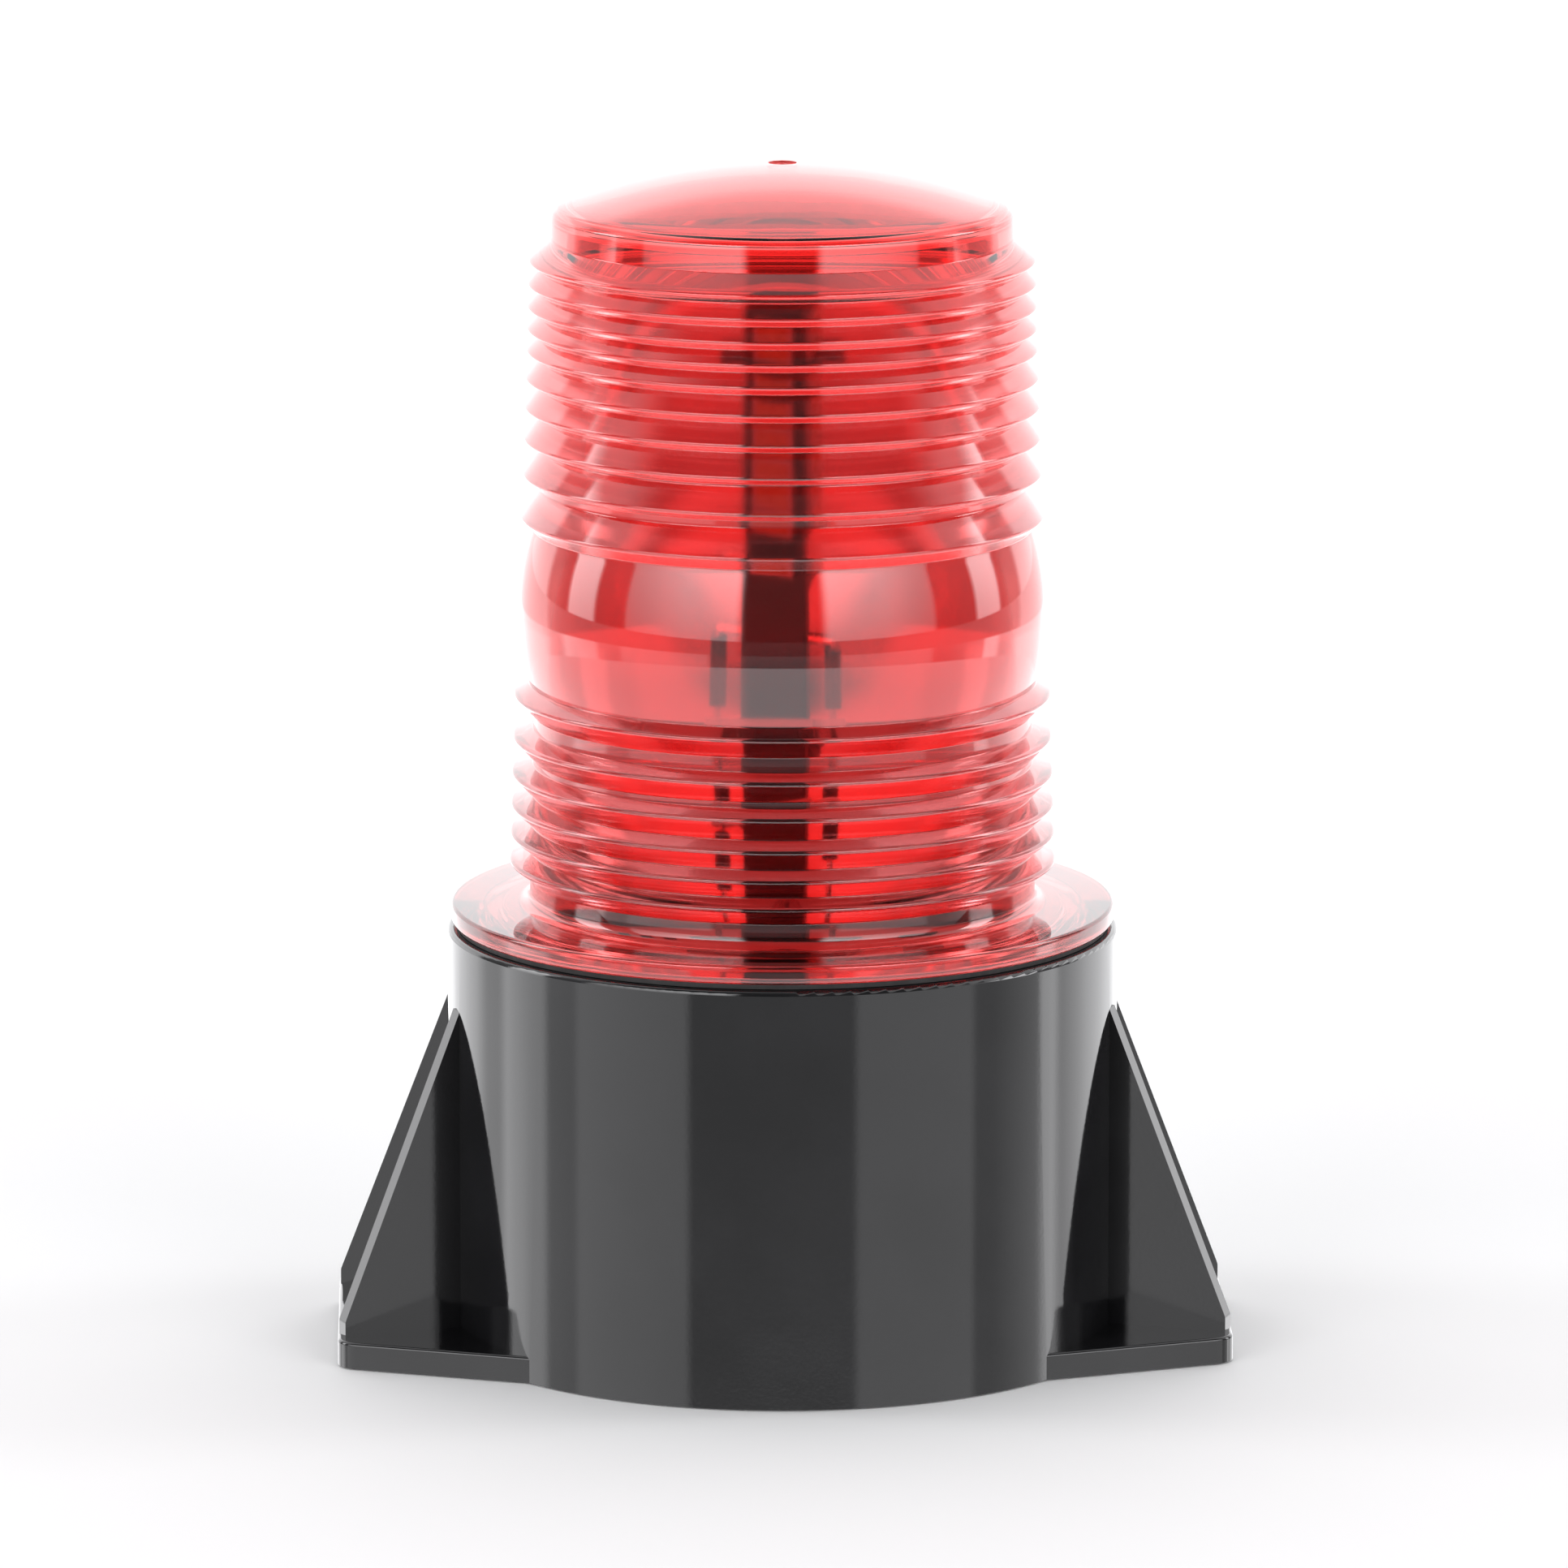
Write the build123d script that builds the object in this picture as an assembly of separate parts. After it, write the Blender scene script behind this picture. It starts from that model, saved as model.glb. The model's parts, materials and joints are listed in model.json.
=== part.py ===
from build123d import *

import os
from math import atan2, cos, degrees, hypot, pi, radians, sin, sqrt

# Red warning beacon with a built-in sounder: a black base with two mounting ears, a ringed lens
# that turns and lifts on a quick thread, and a square tower of lamp boards inside it.
# Millimetres, +Z up, origin at the centre of the underside, ears along X.

os.makedirs("parts", exist_ok=True)

# ---- base housing -------------------------------------------------------------------------
BASE_R = 41.0            # outside of the round wall
BASE_H = 51.4            # top of the rim
BASE_WALL = 2.8
RIM_ROUND = 0.6
BORE_R = BASE_R - BASE_WALL
DECK_Z = 38.0            # underside of the deck between the two chambers
DECK_TOP = 40.5
DECK_WINDOW = (26.0, 12.0)

# ---- ears and gussets ---------------------------------------------------------------------
EAR_TIP_X = 54.6
EAR_T = 3.2
EAR_TIP_HALF = 18.0      # half width at the tip
EAR_ROOT_X = 30.0
EAR_ROOT_HALF = 26.9     # half width where the ear has run into the round wall
EAR_CORNER = 3.0
EAR_HOLE_X = 48.0
EAR_HOLE_R = 2.75
GUSSET_T = 2.3
GUSSET_ROOT = (39.6, 10.5)   # outer face where it leaves the wall
GUSSET_END = (53.7, 15.4)    # outer face at its low end
GUSSET_TOP_Z = 42.6
GUSSET_END_Z = 5.0
GUSSET_TOE_ROUND = 1.2
GUSSET_INSET = 3.0       # how far a gusset starts inside the round wall

# ---- bottom cover -------------------------------------------------------------------------
COVER_R = 38.1
COVER_Z = 1.2
COVER_TOP = 4.4
COVER_BOSS_RING = 32.5   # distance of the screw bosses from the axis
COVER_BOSS_R = 3.4
COVER_SCREW_R = 1.5
COVER_SCREW_LENGTH = 10.0
COVER_PILOT_R = 1.55
COVER_PILOT_DEPTH = 14.0
COVER_POCKET_R, COVER_POCKET_DEPTH = 3.0, 1.6
SEAL_WIRE_R = 0.8
SEAL_RING_R = 37.3
OUTLET_Y = 25.0          # cable outlet, behind the sounder
OUTLET_R = 5.0
GROMMET_BORE_R = 3.5
GROMMET_LIP = 1.8        # how far the lips reach past the outlet
GROMMET_LIP_LOW, GROMMET_LIP_HIGH = 0.9, 1.4

# ---- sounder ------------------------------------------------------------------------------
SOUNDER_Y = -8.0
SOUNDER_R = 19.0
SOUNDER_H = 14.0
SOUNDER_WALL = 1.6
SOUNDER_LUG_X = SOUNDER_R + 3.2
SOUNDER_LUG_R, SOUNDER_LUG_T = 2.9, 2.0
SOUNDER_SCREW_R = 1.05
SOUNDER_CLAMP_R = SOUNDER_R - SOUNDER_WALL - 0.1
SOUNDER_STEP = 4.0       # the diaphragm's seat above the cover
DIAPHRAGM_R = 16.6       # free part of the diaphragm
DIAPHRAGM_T = 0.6
CERAMIC_R, CERAMIC_T = 11.5, 0.3
SOUND_SLOT_N = 5
SOUND_SLOT_PITCH = 5.0
SOUND_SLOT_W = 1.8
LEAD_X, LEAD_R = 3.0, 0.6

# ---- circuit boards -----------------------------------------------------------------------
BOARD_T = 1.6
POWER_BOARD_R = 28.5
POWER_BOARD_TOP = 29.6
LAMP_BOARD_R = 31.0
LAMP_BOARD_Z = 45.0
POST_RING = 26.0
POST_R = 3.0
POST_ANGLES = (30, 150, 270)
BOARD_SCREW_R = 1.25
BOARD_SCREW_HEAD = (2.4, 1.5)
BOARD_HOLE_R = BOARD_SCREW_R + 0.2
PILOT_R = BOARD_SCREW_R + 0.05

# ---- light tower --------------------------------------------------------------------------
TOWER_TURN = -18         # the column stands turned a little about Z
STEM_W, STEM_T = 8.2, 2.0
STEM_Y = -3.0            # the stem is a flat bar under the column's front board
COLUMN_BASE = 91.3       # top of the stem and the collar, where the boards stand
COLLAR_T = 1.4
COLLAR_WIRE_HOLE = (3.0, 3.0)
COLUMN_W = 8.0
COLUMN_TOP = 116.4
LED_BOARD_T = 1.0
LED_W, LED_H, LED_D = 5.4, 3.1, 0.9
PANE_W, PANE_H, PANE_T = 4.4, 2.3, 0.4
LED_PITCH = 3.4
LEDS_BELOW, LEDS_ABOVE = 5, 2          # lamps on each face, either side of the centring plate
HUB_R = 6.3
WING_W, WING_D = 17.6, 5.0             # the plate's wings lie along X
PLATE_T = 1.1
PLATE_GAP = 1.2
CAP_T = 1.8
FOOT_W, FOOT_D, FOOT_T = 20.4, 10.0, 1.6
FOOT_RIVET = (7.4, 3.2)
RIVET_R, RIVET_HEAD_R, RIVET_HEAD_H = 1.05, 1.7, 0.8
WIRE_X = 7.2             # feed wires, from the middle of the stem
WIRE_R = 0.4
WIRE_TOP = 87.2
SLEEVE_R = 1.0
UPPER_SLEEVE_LOW = 82.9
LOWER_SLEEVE = (76.6, 79.8)
SPACER_Z, SPACER_T = 81.0, 1.2
SPACER_D = 2.4

# ---- lens ---------------------------------------------------------------------------------
LENS_TOP = 145.4
DOME_R = 76.0            # sphere of the crown
DOME_EDGE_R = 27.3
DOME_EDGE_ROUND = 1.0
CROWN_WALL_R = 28.05
CROWN_FOOT = (28.2, 136.1)
OPTIC_Z = 91.2           # centre plane of the ringed optic
RING_STEPS = (10.9, 16.1, 20.5, 24.4, 28.0, 31.4, 34.1, 36.8, 39.6, 42.4)
LOWER_RINGS = 6
UPPER_TIP_R, UPPER_TIP_TAPER = 31.95, 0.0275   # ring tip radius, and its loss per mm of height
LOWER_TIP_R, LOWER_TIP_TAPER = 33.0, 0.0435
UPPER_ROOT_R = 29.6
LOWER_ROOT_R = 30.5
INNER_TOP_R, INNER_FOOT_R = 27.3, 28.6
RING_RISER = 0.85        # height of a ring's short flank, the one that faces the bulge's far side
RING_SLOPE = 0.68        # radial fall of the long flank per mm of height, upper rings
RING_TIP_ROUND = 0.4
RING_LAND = 0.1          # the shortest stretch of plain wall between two rings
BULGE_R = 32.06
BULGE_TOP_R, BULGE_TOP_GAP = 30.35, 1.5        # where the bulge ends under the upper rings
BULGE_FOOT_R, BULGE_FOOT_GAP = 30.9, 1.2       # and over the lower rings
LAST_RING_FALL = 2.2     # height of the long flank of the lowest ring
LENS_WALL = 2.1
SHOULDER_DROP = 3.5      # inside, the wall is thick up to this far under the top rings
FLANGE_R = 40.5
FLANGE_Z = 52.1
FLANGE_T = 2.3
NECK_R = 30.9
NECK_ROUND = 2.0
SKIRT_R = 36.2
SKIRT_WALL = 2.0
SKIRT_FOOT = 43.5
GATE_R, GATE_DEPTH = 1.7, 0.5

# ---- quick thread -------------------------------------------------------------------------
THREAD_LEAD = 12.0       # rise per full turn
LUG_COUNT = 3
LUG_ARC = 50.0
LEDGE_ARC = 60.0
THREAD_REACH = 1.7       # how far lugs and ledges stand off their walls
LEDGE_LOW_Z = 47.0       # underside of a ledge at its middle
LEDGE_T = 2.2
LUG_T = 2.0
THREAD_PLAY = 0.2
LUG_FIRST_ANGLE = 90.0

# ---- lens seal ----------------------------------------------------------------------------
SEAL_IN_R, SEAL_OUT_R = 36.5, 39.9
SEAL_Z, SEAL_TOP = BASE_H + 0.06, FLANGE_Z - 0.06


# ---- shared ------------------------------------------------------------------------------
ON_FOOT = (Align.CENTER, Align.CENTER, Align.MIN)     # a solid stands on its position
SCREW_TIP = 1.2          # length of a screw's pointed end


def post(radius, bottom, top, x=0.0, y=0.0):
    """Upright cylinder between two heights."""
    return Pos(x, y, bottom) * Cylinder(radius, top - bottom, align=ON_FOOT)


def block(width, depth, bottom, top, x=0.0, y=0.0):
    """Upright box between two heights."""
    return Pos(x, y, bottom) * Box(width, depth, top - bottom, align=ON_FOOT)


def around(ring_r, angle):
    """A point on a circle about the axis."""
    return ring_r * cos(radians(angle)), ring_r * sin(radians(angle))


def pan_screw(head_r, head_h, shank_r, length):
    """Screw with its head's seat at z = 0, head up, shank down, and a cross recess."""
    head = post(head_r, 0, head_h)
    head = fillet(head.edges().sort_by(Axis.Z)[-1], head_h * 0.45)
    tip = Pos(0, 0, -length) * Cone(shank_r * 0.35, shank_r, SCREW_TIP, align=ON_FOOT)
    screw = head + post(shank_r, SCREW_TIP - length, 0) + tip
    slot = block(head_r * 1.1, head_r * 0.28, head_h * 0.45, head_h + 1)
    return screw - slot - Rot(0, 0, 90) * slot


def thread_block(inner_r, outer_r, middle_z, thickness, arc, angle):
    """Stretch of the quick thread: a ring sector between two faces tilted at the lead angle."""
    middle_r = (inner_r + outer_r) / 2
    section = Plane.XZ * Pos(middle_r, middle_z) * Rectangle(outer_r - inner_r, thickness + 12)
    sector = Rot(0, 0, angle - arc / 2) * revolve(section, Axis.Z, arc)
    tilt = degrees(atan2(THREAD_LEAD, 2 * pi * middle_r))
    slab = Rot(0, 0, angle) * Pos(middle_r, 0, middle_z) * Rot(tilt, 0, 0) * Box(40, 80, thickness)
    return sector & slab


def lug_angles():
    return [LUG_FIRST_ANGLE + n * 360 / LUG_COUNT for n in range(LUG_COUNT)]


# ---- base ---------------------------------------------------------------------------------

def ear():
    """Mounting ear along +X, a plate that narrows towards a tip with round corners."""
    outline = Polyline(
        (EAR_ROOT_X, -EAR_ROOT_HALF), (EAR_TIP_X, -EAR_TIP_HALF),
        (EAR_TIP_X, EAR_TIP_HALF), (EAR_ROOT_X, EAR_ROOT_HALF), close=True,
    )
    plate = extrude(make_face(outline), EAR_T)
    corners = plate.edges().filter_by(Axis.Z).group_by(Axis.X)[-1]
    plate = fillet(corners, EAR_CORNER)
    top_rim = plate.edges().group_by(Axis.Z)[-1].filter_by(lambda edge: edge.center().X > EAR_ROOT_X + 1)
    return fillet(top_rim, 0.4)


def gusset(side):
    """Upright triangular web on the ear along +X; side is -1 in front and 1 behind."""
    (x0, y0), (x1, y1) = GUSSET_ROOT, GUSSET_END
    run = hypot(x1 - x0, y1 - y0)
    foot_z = EAR_T / 2
    outline = Polyline(
        (-GUSSET_INSET, foot_z), (run, foot_z), (run, GUSSET_END_Z),
        (0, GUSSET_TOP_Z), (-GUSSET_INSET, GUSSET_TOP_Z), close=True,
    )
    face = make_face(outline)
    toe = [v for v in face.vertices() if abs(v.X - run) < 0.01 and v.Y > EAR_T]
    face = fillet(toe, GUSSET_TOE_ROUND)
    web = extrude(Plane.XZ * face, GUSSET_T)
    splay = degrees(atan2(y1 - y0, x1 - x0))
    web = Pos(x0, -y0, 0) * Rot(0, 0, -splay) * Pos(0, GUSSET_T, 0) * web
    return web if side < 0 else mirror(web, Plane.XZ)


def ear_with_gussets():
    wing = ear() + gusset(-1) + gusset(1)
    inner = post(BASE_R - 1.2, -1, BASE_H)
    wing = wing - inner
    wing -= post(EAR_HOLE_R, -1, EAR_T + 1, EAR_HOLE_X)
    return wing


def base_housing():
    """Round cup with a deck, ears, gussets, screw bosses, board posts and thread ledges."""
    wall = post(BASE_R, 0, BASE_H)
    wall = fillet(wall.edges().sort_by(Axis.Z)[-1], RIM_ROUND)
    wall -= post(BORE_R, -1, DECK_Z)
    wall -= post(BORE_R, DECK_TOP, BASE_H + 1)
    wall -= block(*DECK_WINDOW, DECK_Z - 1, DECK_TOP + 1)
    wing = ear_with_gussets()
    body = wall + wing + Rot(0, 0, 180) * wing
    for quarter in range(4):
        angle = 45 + 90 * quarter
        x, y = around(COVER_BOSS_RING, angle)
        web_r = (COVER_BOSS_RING + BORE_R + 1) / 2
        web = Rot(0, 0, angle) * block(BORE_R + 1 - COVER_BOSS_RING, 2.4, COVER_TOP, DECK_Z + 1, web_r)
        body += post(COVER_BOSS_R, COVER_TOP, DECK_Z + 1, x, y) + web
        body -= post(COVER_PILOT_R, COVER_TOP - 1, COVER_TOP + COVER_PILOT_DEPTH, x, y)
    for angle in POST_ANGLES:
        x, y = around(POST_RING, angle)
        body += post(POST_R, POWER_BOARD_TOP, LAMP_BOARD_Z, x, y)
        body -= post(PILOT_R, LAMP_BOARD_Z - 8, LAMP_BOARD_Z + 1, x, y)
        body -= post(PILOT_R, POWER_BOARD_TOP - 1, POWER_BOARD_TOP + 6.5, x, y)
    ledge_in = BORE_R - THREAD_REACH
    for angle in lug_angles():
        body += thread_block(ledge_in, BORE_R + 0.5, LEDGE_LOW_Z + LEDGE_T / 2, LEDGE_T, LEDGE_ARC, angle)
    return body


def cover_points():
    return [around(COVER_BOSS_RING, 45 + 90 * quarter) for quarter in range(4)]


def bottom_cover():
    """Round plate with a seal groove in its edge, screw pockets, sound slots and the outlet."""
    plate = post(COVER_R, COVER_Z, COVER_TOP)
    plate = chamfer(plate.edges().sort_by(Axis.Z)[0], 0.4)
    middle = (COVER_Z + COVER_TOP) / 2
    groove_in = SEAL_RING_R - SEAL_WIRE_R
    plate -= post(COVER_R + 1, middle - SEAL_WIRE_R, middle + SEAL_WIRE_R) - post(groove_in, 0, 9)
    for x, y in cover_points():
        plate -= post(COVER_SCREW_R + 0.2, 0, 9, x, y)
        plate -= post(COVER_POCKET_R, 0, COVER_Z + COVER_POCKET_DEPTH, x, y)
    plate -= post(OUTLET_R, 0, 9, 0, OUTLET_Y)
    middle_slot = (SOUND_SLOT_N - 1) / 2
    for n in range(SOUND_SLOT_N):
        offset = (n - middle_slot) * SOUND_SLOT_PITCH
        length = 2 * sqrt((DIAPHRAGM_R - 3) ** 2 - offset ** 2)
        plate -= Pos(0, SOUNDER_Y + offset, 0) * extrude(SlotOverall(length, SOUND_SLOT_W), 9)
    for x in (-SOUNDER_LUG_X, SOUNDER_LUG_X):
        plate -= post(1.1, COVER_Z + 1.2, 9, x, SOUNDER_Y)
    return plate


def cover_screws():
    screw = Rot(180, 0, 0) * pan_screw(2.8, COVER_POCKET_DEPTH, COVER_SCREW_R, COVER_SCREW_LENGTH)
    seat = COVER_Z + COVER_POCKET_DEPTH
    return Compound([Pos(x, y, seat) * screw for x, y in cover_points()])


def cover_seal():
    return Pos(0, 0, (COVER_Z + COVER_TOP) / 2) * Torus(SEAL_RING_R, SEAL_WIRE_R)


def cable_grommet():
    """Rubber bush with a lip on each side of the cover and a round bore for the leads."""
    lip_r = OUTLET_R + GROMMET_LIP
    low, high = COVER_Z - GROMMET_LIP_LOW, COVER_TOP + GROMMET_LIP_HIGH
    bush = post(OUTLET_R, low, high, 0, OUTLET_Y)
    lower = post(lip_r, low, COVER_Z, 0, OUTLET_Y)
    upper = post(lip_r, COVER_TOP, high, 0, OUTLET_Y)
    upper = fillet(upper.edges().sort_by(Axis.Z)[-1], 0.6)
    return bush + lower + upper - post(GROMMET_BORE_R, 0, 9, 0, OUTLET_Y)


# ---- sounder ------------------------------------------------------------------------------

def sounder_case():
    """Round resonator cup standing mouth down on the cover, with two fixing lugs."""
    top = COVER_TOP + SOUNDER_H
    cup = post(SOUNDER_R, COVER_TOP, top, 0, SOUNDER_Y)
    cup = fillet(cup.edges().sort_by(Axis.Z)[-1], 1.2)
    lug_top = COVER_TOP + SOUNDER_LUG_T
    for side in (-1, 1):
        lug = post(SOUNDER_LUG_R, COVER_TOP, lug_top, side * SOUNDER_LUG_X, SOUNDER_Y)
        lug += block(5, 2 * SOUNDER_LUG_R, COVER_TOP, lug_top, side * (SOUNDER_R + 0.7), SOUNDER_Y)
        cup += lug - post(SOUNDER_SCREW_R + 0.25, 0, lug_top + 1, side * SOUNDER_LUG_X, SOUNDER_Y)
    cup -= post(SOUNDER_R - SOUNDER_WALL, COVER_TOP - 1, COVER_TOP + SOUNDER_STEP, 0, SOUNDER_Y)
    cup -= post(SOUNDER_R - SOUNDER_WALL - 2, COVER_TOP, top - SOUNDER_WALL, 0, SOUNDER_Y)
    for side in (-1, 1):
        cup -= post(LEAD_R + 0.1, top - 4, top + 1, side * LEAD_X, SOUNDER_Y)
    return cup


def sounder_disc():
    """Brass diaphragm with its thinner ceramic layer on top, clamped under the case's step."""
    seat = COVER_TOP + SOUNDER_STEP
    disc = post(SOUNDER_CLAMP_R, seat - DIAPHRAGM_T, seat, 0, SOUNDER_Y)
    return disc + post(CERAMIC_R, seat, seat + CERAMIC_T, 0, SOUNDER_Y)


def sounder_ring():
    """Clamp ring that holds the diaphragm in its step."""
    seat = COVER_TOP + SOUNDER_STEP - DIAPHRAGM_T
    ring = post(SOUNDER_CLAMP_R, COVER_TOP, seat, 0, SOUNDER_Y)
    return ring - post(DIAPHRAGM_R - 1.5, 0, seat + 1, 0, SOUNDER_Y)


def sounder_screws():
    screw = pan_screw(2.1, 1.4, SOUNDER_SCREW_R, 3.6)
    seat = COVER_TOP + SOUNDER_LUG_T
    return Compound([Pos(side * SOUNDER_LUG_X, SOUNDER_Y, seat) * screw for side in (-1, 1)])


def sounder_leads():
    """Two insulated leads from the top of the sounder up to the power board."""
    start = COVER_TOP + SOUNDER_H - 2.0
    end = POWER_BOARD_TOP - BOARD_T
    leads = []
    for side in (-1, 1):
        x = side * LEAD_X
        path = FilletPolyline(
            (x, SOUNDER_Y, start), (x, SOUNDER_Y, start + 5), (x, SOUNDER_Y - 6, start + 8.2),
            (x, SOUNDER_Y - 6, end), radius=[1.6, 1.4],
        )
        section = Plane(origin=path @ 0, z_dir=path % 0) * Circle(LEAD_R)
        leads.append(sweep(section, path))
    return Compound(leads)


# ---- power board --------------------------------------------------------------------------

POWER_LOW = POWER_BOARD_TOP - BOARD_T      # underside of the power board


def post_points():
    return [around(POST_RING, angle) for angle in POST_ANGLES]


def power_board():
    board = post(POWER_BOARD_R, POWER_LOW, POWER_BOARD_TOP)
    for x, y in post_points():
        board -= post(BOARD_HOLE_R, POWER_LOW - 1, POWER_BOARD_TOP + 1, x, y)
    return board


def power_board_screws():
    screw = Rot(180, 0, 0) * pan_screw(*BOARD_SCREW_HEAD, BOARD_SCREW_R, 7.6)
    return Compound([Pos(x, y, POWER_LOW) * screw for x, y in post_points()])


TERMINAL_Y = 15.0
TERMINAL_H = 9.0
TERMINAL_X = (-2.54, 2.54)     # the two ways
CLAMP_Y = TERMINAL_Y + 0.6     # the clamp screws stand a little behind the middle


def terminal_block():
    """Two-way clamp block under the board, its wire mouths facing the cable outlet."""
    body = block(10.4, 8.0, POWER_LOW - TERMINAL_H, POWER_LOW, 0, TERMINAL_Y)
    body = chamfer(body.edges().filter_by(Axis.X).group_by(Axis.Z)[0].sort_by(Axis.Y)[0], 1.6)
    for x in TERMINAL_X:
        body -= Pos(x, TERMINAL_Y + 2.2, POWER_LOW - 3.4) * Box(3.4, 6, 3.6)
        body -= post(1.9, POWER_LOW - TERMINAL_H - 1, POWER_LOW - 5.4, x, CLAMP_Y)
        body -= post(1.1, POWER_LOW - 6, POWER_LOW - 3.4, x, CLAMP_Y)
    return body


def terminal_screws():
    screw = Rot(180, 0, 0) * pan_screw(1.8, 1.2, 1.0, 2.6)
    return Compound([Pos(x, CLAMP_Y, POWER_LOW - 6.9) * screw for x in TERMINAL_X])


FUSE_X, FUSE_Z = -13.0, POWER_LOW - 4.2
FUSE_TUBE_R, FUSE_CAP_R = 2.3, 2.6
FUSE_CAP_Y, FUSE_CAP_L = 7.0, 5.0
CLIP_R, CLIP_L = 3.1, 4.0


def fuse():
    """Glass tube fuse with metal end caps, lying along Y."""
    body = Cylinder(FUSE_TUBE_R, 2 * FUSE_CAP_Y)
    for side in (-1, 1):
        body += Pos(0, 0, side * FUSE_CAP_Y) * Cylinder(FUSE_CAP_R, FUSE_CAP_L)
    return Pos(FUSE_X, 0, FUSE_Z) * Rot(90, 0, 0) * body


def fuse_clips():
    """Sprung clip at each end of the fuse."""
    clips = []
    bore = Rot(90, 0, 0) * Cylinder(FUSE_CAP_R, CLIP_L + 2)
    clip = Rot(90, 0, 0) * Cylinder(CLIP_R, CLIP_L)
    clip -= Pos(0, 0, -FUSE_CAP_R) * Box(3.4, CLIP_L * 2, 2.6)
    clip += Pos(0, 0, 3.6) * Box(4.2, CLIP_L, 1.2)
    clip -= bore
    for side in (-1, 1):
        clips.append(Pos(FUSE_X, side * FUSE_CAP_Y, FUSE_Z) * clip)
    return Compound(clips)


CAPACITORS = ((12.5, 12.0, 3.9, 12.0), (12.5, -2.0, 3.9, 12.0), (-12.0, 14.0, 3.1, 10.0))


def capacitors():
    """Electrolytic cans lying flat to keep under the deck."""
    cans = []
    for x, y, radius, length in CAPACITORS:
        can = Cylinder(radius, length)
        can = fillet(can.edges().sort_by(Axis.Z)[-1], 0.8)
        can -= Pos(0, 0, -length / 2 + 1.6) * (Cylinder(radius + 1, 0.8) - Cylinder(radius - 0.4, 2))
        bung = Pos(0, 0, -length / 2 - 0.4) * Cylinder(radius - 0.5, 0.8)
        cans.append(Pos(x, y, POWER_BOARD_TOP + radius) * Rot(0, 90, 0) * (can + bung))
    return Compound(cans)


INDUCTOR_AT = (16.0, -12.5)
CORE_R, CORE_POST_R = 5.2, 2.6
CORE_FLANGE_T = 1.5
WINDING_LOW = POWER_BOARD_TOP + CORE_FLANGE_T
WINDING_HIGH = WINDING_LOW + 4.0


def inductor_core():
    """Ferrite drum: two flanges on a round post."""
    x, y = INDUCTOR_AT
    top = WINDING_HIGH + CORE_FLANGE_T
    core = post(CORE_R, POWER_BOARD_TOP, WINDING_LOW, x, y)
    core += post(CORE_POST_R, POWER_BOARD_TOP, top, x, y)
    return core + post(CORE_R, WINDING_HIGH, top, x, y)


def inductor_winding():
    """Copper winding on the drum, one bead for each layer turn."""
    x, y = INDUCTOR_AT
    winding = post(CORE_R - 0.6, WINDING_LOW, WINDING_HIGH, x, y)
    for n in range(4):
        winding -= Pos(x, y, WINDING_LOW + 1 + n) * Torus(CORE_R - 0.25, 0.45)
    return winding - post(CORE_POST_R, 0, LENS_TOP, x, y)


DIODE_X, DIODE_Y = -12.0, (-4.5, -9.5)
DIODE_R, DIODE_LEAD_R, DIODE_REACH = 1.8, 0.4, 6.0


def diodes():
    """Axial diodes lying on the board, with bent leads."""
    pieces = []
    axis_z = POWER_BOARD_TOP + DIODE_R
    for y in DIODE_Y:
        lying = Pos(DIODE_X, y, axis_z) * Rot(0, 90, 0)
        body = lying * Cylinder(DIODE_R, 6)
        leads = lying * Cylinder(DIODE_LEAD_R, 2 * DIODE_REACH)
        for x in (DIODE_X - DIODE_REACH, DIODE_X + DIODE_REACH):
            leads += post(DIODE_LEAD_R, POWER_BOARD_TOP, axis_z + DIODE_LEAD_R, x, y)
        pieces.append(body + leads)
    return Compound(pieces)


TRANSISTOR_AT = (0.0, -17.5)


def transistor():
    """Switching transistor lying on its heat spreader, three legs bent down to the board."""
    x, y = TRANSISTOR_AT
    base = POWER_BOARD_TOP + 1.2
    body = block(10, 8.6, base, base + 4.2, x, y)
    body = chamfer(body.edges().group_by(Axis.Z)[-1], 0.5)
    for leg in (-2.54, 0, 2.54):
        body += block(0.9, 4, base + 1.6, base + 2.2, x + leg, y + 6.3)
        body += block(0.9, 0.6, POWER_BOARD_TOP, base + 2.2, x + leg, y + 8)
    return body


def heat_spreader():
    """Aluminium plate under the transistor, with three low fins beside it."""
    x, y = TRANSISTOR_AT
    plate = block(19, 9.6, POWER_BOARD_TOP, POWER_BOARD_TOP + 1.2, x, y)
    for fin in (-8.6, -6.6, 6.6, 8.6):
        plate += block(0.9, 9.6, POWER_BOARD_TOP + 1.2, POWER_BOARD_TOP + 4.6, x + fin, y)
    return plate


# ---- lamp board ---------------------------------------------------------------------------

LAMP_TOP = LAMP_BOARD_Z + BOARD_T
HEADER_PITCH = 2.54
HEADER_X = [(n - 1.5) * HEADER_PITCH for n in range(4)]


def lamp_board():
    """Round board under the lens, with screw holes and the holes for the header pins."""
    board = post(LAMP_BOARD_R, LAMP_BOARD_Z, LAMP_TOP)
    for x, y in post_points():
        board -= post(BOARD_HOLE_R, LAMP_BOARD_Z - 1, LAMP_TOP + 1, x, y)
    return board


def lamp_board_screws():
    screw = pan_screw(*BOARD_SCREW_HEAD, BOARD_SCREW_R, 9)
    return Compound([Pos(x, y, LAMP_TOP) * screw for x, y in post_points()])


def link_header():
    """Insulating strip of the board-to-board connector."""
    width = 4 * HEADER_PITCH
    strip = block(width, 2.5, POWER_BOARD_TOP, POWER_BOARD_TOP + 5.5)
    strip += block(width, 2.5, LAMP_BOARD_Z - 3, LAMP_BOARD_Z)
    for x in HEADER_X:
        strip -= block(0.7, 0.7, POWER_BOARD_TOP - 1, LAMP_BOARD_Z + 1, x)
    return strip


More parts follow.
